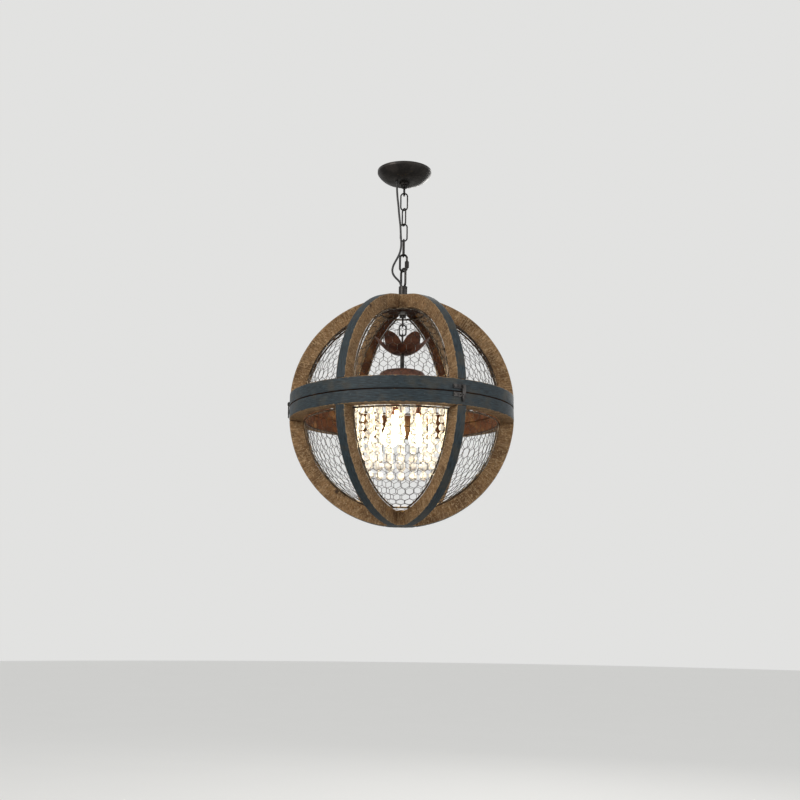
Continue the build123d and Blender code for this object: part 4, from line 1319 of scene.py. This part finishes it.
@dataclass
class LightFixture:
    """The metal body of the inner fixture and its three lamps."""

    finishes: Finishes
    light_r: float = 36 * MM
    light_angles: tuple[float, ...] = (-104.5, 15.5, 135.5)

    def dish(self) -> bpy.types.Object:
        """The petal dish. Its reach grows with the way s from floor to rim as s, its height
        about as s to the power 1.75, and the rim runs out only as far as the petal's outline lets
        it: furthest in the petal's middle and three fifths as far in the notch."""
        low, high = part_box("petal_dish")
        rim_r, floor_z, rim_z, flat_r = 63.5 * MM, low[2], high[2], 15 * MM
        cols = 240
        turn = circle(cols)
        share = np.linspace(0, 1, 26)[:, None]
        off = np.abs((turn / RIB_STEP + 0.5) % 1 - 0.5) * 2
        reach = 1 - 0.42 * off ** 2.2 - 0.05 * off
        s = share * reach[None]
        curl = 0.06 * np.sin(math.pi * s) * np.cos(6 * turn)[None]
        radius = flat_r * share.clip(0, 0.01) / 0.01 + (rim_r - flat_r) * s
        lift = np.clip(s ** 1.75 - 0.35 * curl * s, 0, 1)
        height = floor_z + 0.3 * MM + (rim_z - floor_z - 0.8 * MM) * lift
        vein = 0.5 * MM * np.exp(-(off * 14) ** 2)[None] * np.sin(math.pi * share) ** 0.5
        outer = np.stack([radius * np.cos(turn), radius * np.sin(turn), height], -1)
        wall = 1.3 * MM
        inside = radius - 0.5 * wall * s
        inner = np.stack([inside * np.cos(turn), inside * np.sin(turn),
                          height + wall * (1 - 0.4 * s) + vein], -1)
        rows = np.concatenate([outer[1:], inner[:0:-1]])
        count = len(rows)
        points = rows.reshape(-1, 3)
        middles = np.array([[0, 0, floor_z + 0.3 * MM], [0, 0, floor_z + 0.3 * MM + wall]])
        near = np.arange(cols)
        following = np.roll(near, -1)
        last = near + (count - 1) * cols
        middle = np.full(cols, count * cols)
        first_fan = np.stack([middle, following, near, near], -1)
        beyond = np.roll(last, -1)
        last_fan = np.stack([middle + 1, last, beyond, beyond], -1)
        faces = np.concatenate([grid_faces(count, cols, False, True), first_fan, last_fan])
        return make_piece("petal_dish_leaves", np.concatenate([points, middles]), faces,
                          self.finishes.metal(RUSTY_BROWN), sharp=50)

    def disc(self) -> bpy.types.Object:
        """The fixture's drum: a low dome over a rolled rim, with a bead round its foot."""
        low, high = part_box("body_disc")
        top, foot, reach = high[2], low[2], 53.5 * MM
        profile = [(0, top), (14 * MM, top - 0.2 * MM), (30 * MM, top - 1.4 * MM),
                   (43 * MM, top - 4.0 * MM), (49 * MM, top - 6.8 * MM),
                   (51.6 * MM, top - 9.6 * MM), (52.2 * MM, top - 11 * MM),
                   (52.2 * MM, foot + 7 * MM), (52.6 * MM, foot + 5.4 * MM)]
        turn = np.radians(np.linspace(60, -80, 9))
        bead = 2.4 * MM
        profile += [(reach - bead + bead * math.cos(a), foot + bead + bead * math.sin(a))
                    for a in turn]
        profile += [(48 * MM, foot + 0.1 * MM), (24 * MM, foot + 0.05 * MM), (0, foot + 0.05 * MM)]
        return make_lathe("body_disc_drum", profile, (0, 0), 96, self.finishes.metal(RUSTY_BROWN))

    def sleeve(self, number: int, centre: tuple[float, float]) -> bpy.types.Object:
        """A candle sleeve: a thin tube with a rolled lip at its lower end.

        Args:
            number: The lamp, from 1.
            centre: X and Y of its axis.

        Returns:
            The sleeve's object.
        """
        low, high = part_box("candle_sleeves")
        outer, wall = 10.6 * MM, 1.1 * MM
        turn = np.radians(np.linspace(180, -90, 9))
        lip = [(outer - 0.6 * MM + 1.0 * MM * math.cos(a) - 0.1 * MM,
                low[2] + 1.05 * MM + 1.0 * MM * math.sin(a))
               for a in turn]
        profile = [(outer - wall, high[2] - 0.1 * MM), (outer, high[2] - 0.1 * MM),
                   (outer, low[2] + 3.2 * MM)]
        profile += [(outer + 0.25 * MM, low[2] + 1.9 * MM), *lip[4:],
                    (outer - wall, low[2] + 1.0 * MM)]
        return make_lathe(f"candle_sleeve_{number}", profile, centre, 40,
                          self.finishes.metal(RUSTY_BROWN))

    def bulb(self, number: int, centre: tuple[float, float]
             ) -> tuple[bpy.types.Object, bpy.types.Object]:
        """A lamp: glass that swells in a smooth curve from its neck to a round end, and a
        threaded cap, whose radius waves with height.

        Args:
            number: The lamp, from 1.
            centre: X and Y of its axis.

        Returns:
            The glass and the cap.
        """
        low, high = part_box("bulbs")
        end, neck, full_r, neck_r = low[2] + 0.2 * MM, SEAM_Z - 9 * MM, 17.3 * MM, 6.3 * MM
        middle = end + full_r
        turn = np.radians(np.linspace(-90, 0, 13))
        profile = [(full_r * math.cos(a) if i else 0, middle + full_r * math.sin(a))
                   for i, a in enumerate(turn)]
        for share in np.linspace(0, 1, 19)[1:]:
            ease = share * share * (3 - 2 * share)
            profile.append((full_r + (neck_r - full_r) * ease, middle + (neck - middle) * share))
        profile += [(neck_r * 0.98, neck + 1.5 * MM), (0, neck + 1.6 * MM)]
        glass = make_lathe(f"bulb_glass_{number}", profile, centre, 48, self.finishes.bulb())
        rise = np.linspace(neck + 1.2 * MM, high[2] - 0.4 * MM, 49)
        thread = 5.9 * MM + 0.35 * MM * np.sin(2 * math.pi * (rise - neck) / (3 * MM))
        cap_profile = [(0, rise[0])] + list(zip(thread, rise)) + [(0, rise[-1])]
        cap = make_lathe(f"bulb_cap_{number}", cap_profile, centre, 32,
                         self.finishes.metal(BRASS), sharp=60)
        return glass, cap

    def build(self) -> None:
        """Builds the dish, the drum and the three lamps."""
        pieces = [(self.dish(), "petal_dish", "rusty_metal"),
                  (self.disc(), "body_disc", "rusty_metal")]
        for number, angle in enumerate(self.light_angles, 1):
            turn = math.radians(angle)
            centre = (self.light_r * math.cos(turn), self.light_r * math.sin(turn))
            pieces.append((self.sleeve(number, centre), "candle_sleeves", "rusty_metal"))
            pieces += [(part, "bulbs", "bulb_glass") for part in self.bulb(number, centre)]
        for piece, node, slot in pieces:
            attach(piece, "lamp")
            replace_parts(piece, node)


# ------------------------------------------------------------------ CAD nodes that stay
class Gear:
    """The CAD nodes whose shapes are right as they are, each given its own finish."""

    nodes_of: dict[Metal, str] = {
        BORDER_ROD: "upper_border_rods lower_border_rods",
        BLACK_IRON: "upper_nails lower_nails quick_link quick_link_sleeve top_washer hanging_loop "
                    "canopy_loop clasp_plates clasp_catches clasp_arm_1 clasp_arm_2 clasp_arm_3 "
                    "clasp_screws_upper clasp_screws_lower inner_loop fixture_loop stem",
        ZINC: "hub_tube hub_nut crossbar canopy_nipple crossbar_nut",
        CANOPY_IRON: "canopy canopy_collar",
        BLACK_PLASTIC: "cord_gland canopy_bushing lamp_sockets",
        RUSTY_BROWN: "crystal_ring"}

    def __init__(self, finishes: Finishes, nodes: dict[str, bpy.types.Object]) -> None:
        """Takes the finishes and the frame's nodes."""
        self.finishes = finishes
        self.nodes = nodes

    def build(self) -> None:
        """Puts each node's finish on its object."""
        finish_of = {name: kind for kind, names in self.nodes_of.items() for name in names.split()}
        for name, kind in finish_of.items():
            node = self.nodes[name]
            material = self.finishes.metal(kind)
            if not node.material_slots:
                node.data.materials.append(material)
            for place in node.material_slots:
                place.material = material
            LOG.info("%s: %s", name, kind.name)


# ------------------------------------------------------------------ studio
@dataclass
class Studio:
    """A pale floor, soft lamps and the photograph's camera, fitted to the orb: its distance,
    elevation and turn from the orb's centre, a small roll, and the centre's pixel."""

    distance: float = 2.5
    elevation: float = math.radians(-10.38)
    azimuth: float = math.radians(-0.54)
    focal_px: float = 1099.3
    roll: float = math.radians(0.68)
    centre_px: tuple[float, float] = (401.68, 410.32)
    frame_px: float = 800.0
    floor_z: float = -1.75

    def camera(self) -> None:
        """Aims at the orb's centre, and shifts the frame so that it falls on its pixel."""
        data = bpy.data.cameras.new("photo_camera")
        data.sensor_width = 36.0
        data.lens = self.focal_px / self.frame_px * data.sensor_width
        data.shift_x = -(self.centre_px[0] - self.frame_px / 2) / self.frame_px
        data.shift_y = (self.centre_px[1] - self.frame_px / 2) / self.frame_px
        data.clip_start = 0.05
        camera = bpy.data.objects.new("photo_camera", data)
        e, a = self.elevation, self.azimuth
        away = Vector((-math.cos(e) * math.sin(a), -math.cos(e) * math.cos(a), math.sin(e)))
        camera.location = Vector((0, 0, SEAM_Z)) + self.distance * away
        aim = (-away).to_track_quat("-Z", "Y").to_matrix()
        camera.rotation_euler = (aim @ Matrix.Rotation(self.roll, 3, "Z")).to_euler()
        bpy.context.scene.collection.objects.link(camera)
        bpy.context.scene.camera = camera

    def lamp(self, name: str, place: tuple[float, float, float], size: float, power: float,
             colour: Colour) -> None:
        """A square soft lamp that faces the orb.

        Args:
            name: Lamp name.
            place: Where it hangs.
            size: Side of the square.
            power: Power in watts.
            colour: Colour of its light.
        """
        data = bpy.data.lights.new(name, "AREA")
        data.size, data.energy, data.color = size, power, colour
        lamp = bpy.data.objects.new(name, data)
        lamp.location = place
        aim = Vector((0, 0, SEAM_Z)) - Vector(place)
        lamp.rotation_euler = aim.to_track_quat("-Z", "Y").to_euler()
        bpy.context.scene.collection.objects.link(lamp)

    def background(self) -> None:
        """Plain pale surroundings, shown at full strength only to the camera, in mirrors
        and through glass, and dimmer as light."""
        world = bpy.data.worlds.new("pale_room")
        world.use_nodes = True
        bpy.context.scene.world = world
        tree = Tree(world.node_tree)
        path = tree.add("LightPath")
        seen = tree.math("MAXIMUM", path.outputs["Is Camera Ray"],
                         tree.math("MAXIMUM", path.outputs["Is Glossy Ray"],
                                   path.outputs["Is Transmission Ray"]))
        back = world.node_tree.nodes["Background"]
        tree.fill(back, {"Color": PALE, "Strength": tree.step(seen, 0.0, 1.0, 0.72, 0.95)})

    def floor(self) -> None:
        """A wide round floor below the orb, whose rim fades into the surroundings."""
        sides = 96
        turn = circle(sides)
        reach = np.array([0.4, 1.2, 2.5, 5.0, 9.0, 14.0])
        rings = np.stack([reach[:, None] * np.cos(turn), reach[:, None] * np.sin(turn),
                          np.full((len(reach), sides), self.floor_z)], -1)
        material = bpy.data.materials.new("pale_floor")
        material.use_nodes = True
        tree = Tree(material.node_tree)
        surface = material.node_tree.nodes["Principled BSDF"]
        mottle = tree.noise(tree.place("Object"), 3.0, 3.0)
        seen = tree.add("LightPath").outputs["Is Camera Ray"]
        tree.fill(surface, {
            "Base Color": tree.mix(mottle, (0.49, 0.49, 0.48), (0.51, 0.51, 0.50)),
            "Roughness": 0.9,
            "Emission Color": PALE, "Emission Strength": tree.step(seen, 0.0, 1.0, 0.0, 0.36)})
        quads = grid_faces(len(reach), sides, False, True)[:, ::-1]
        piece = make_piece("floor", rings, quads, material, caps=[range(sides)], closed=False)

    def build(self) -> None:
        """Sets the stage."""
        bpy.context.scene.view_settings.view_transform = "Standard"
        self.camera()
        self.background()
        self.floor()
        self.lamp("key", (-1.9, -2.3, 0.5), 1.8, 62.0, (1.0, 0.98, 0.95))
        self.lamp("fill", (2.3, -1.7, -0.3), 1.8, 30.0, (0.95, 0.97, 1.0))
        self.lamp("back", (0.8, 2.4, 0.6), 1.6, 30.0, (1.0, 0.98, 0.95))


def main() -> None:
    """Builds the whole scene round the frame."""
    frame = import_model()
    Studio().build()
    finishes = Finishes()
    PowerCord(finishes).build()
    Cage(finishes).build()
    Netting(finishes).build()
    Chain(finishes).build()
    Crystals(finishes).build()
    LightFixture(finishes).build()
    Gear(finishes, frame["nodes"]).build()


if __name__ == "__main__":
    logging.basicConfig(level=logging.INFO, format="%(message)s")
    main()
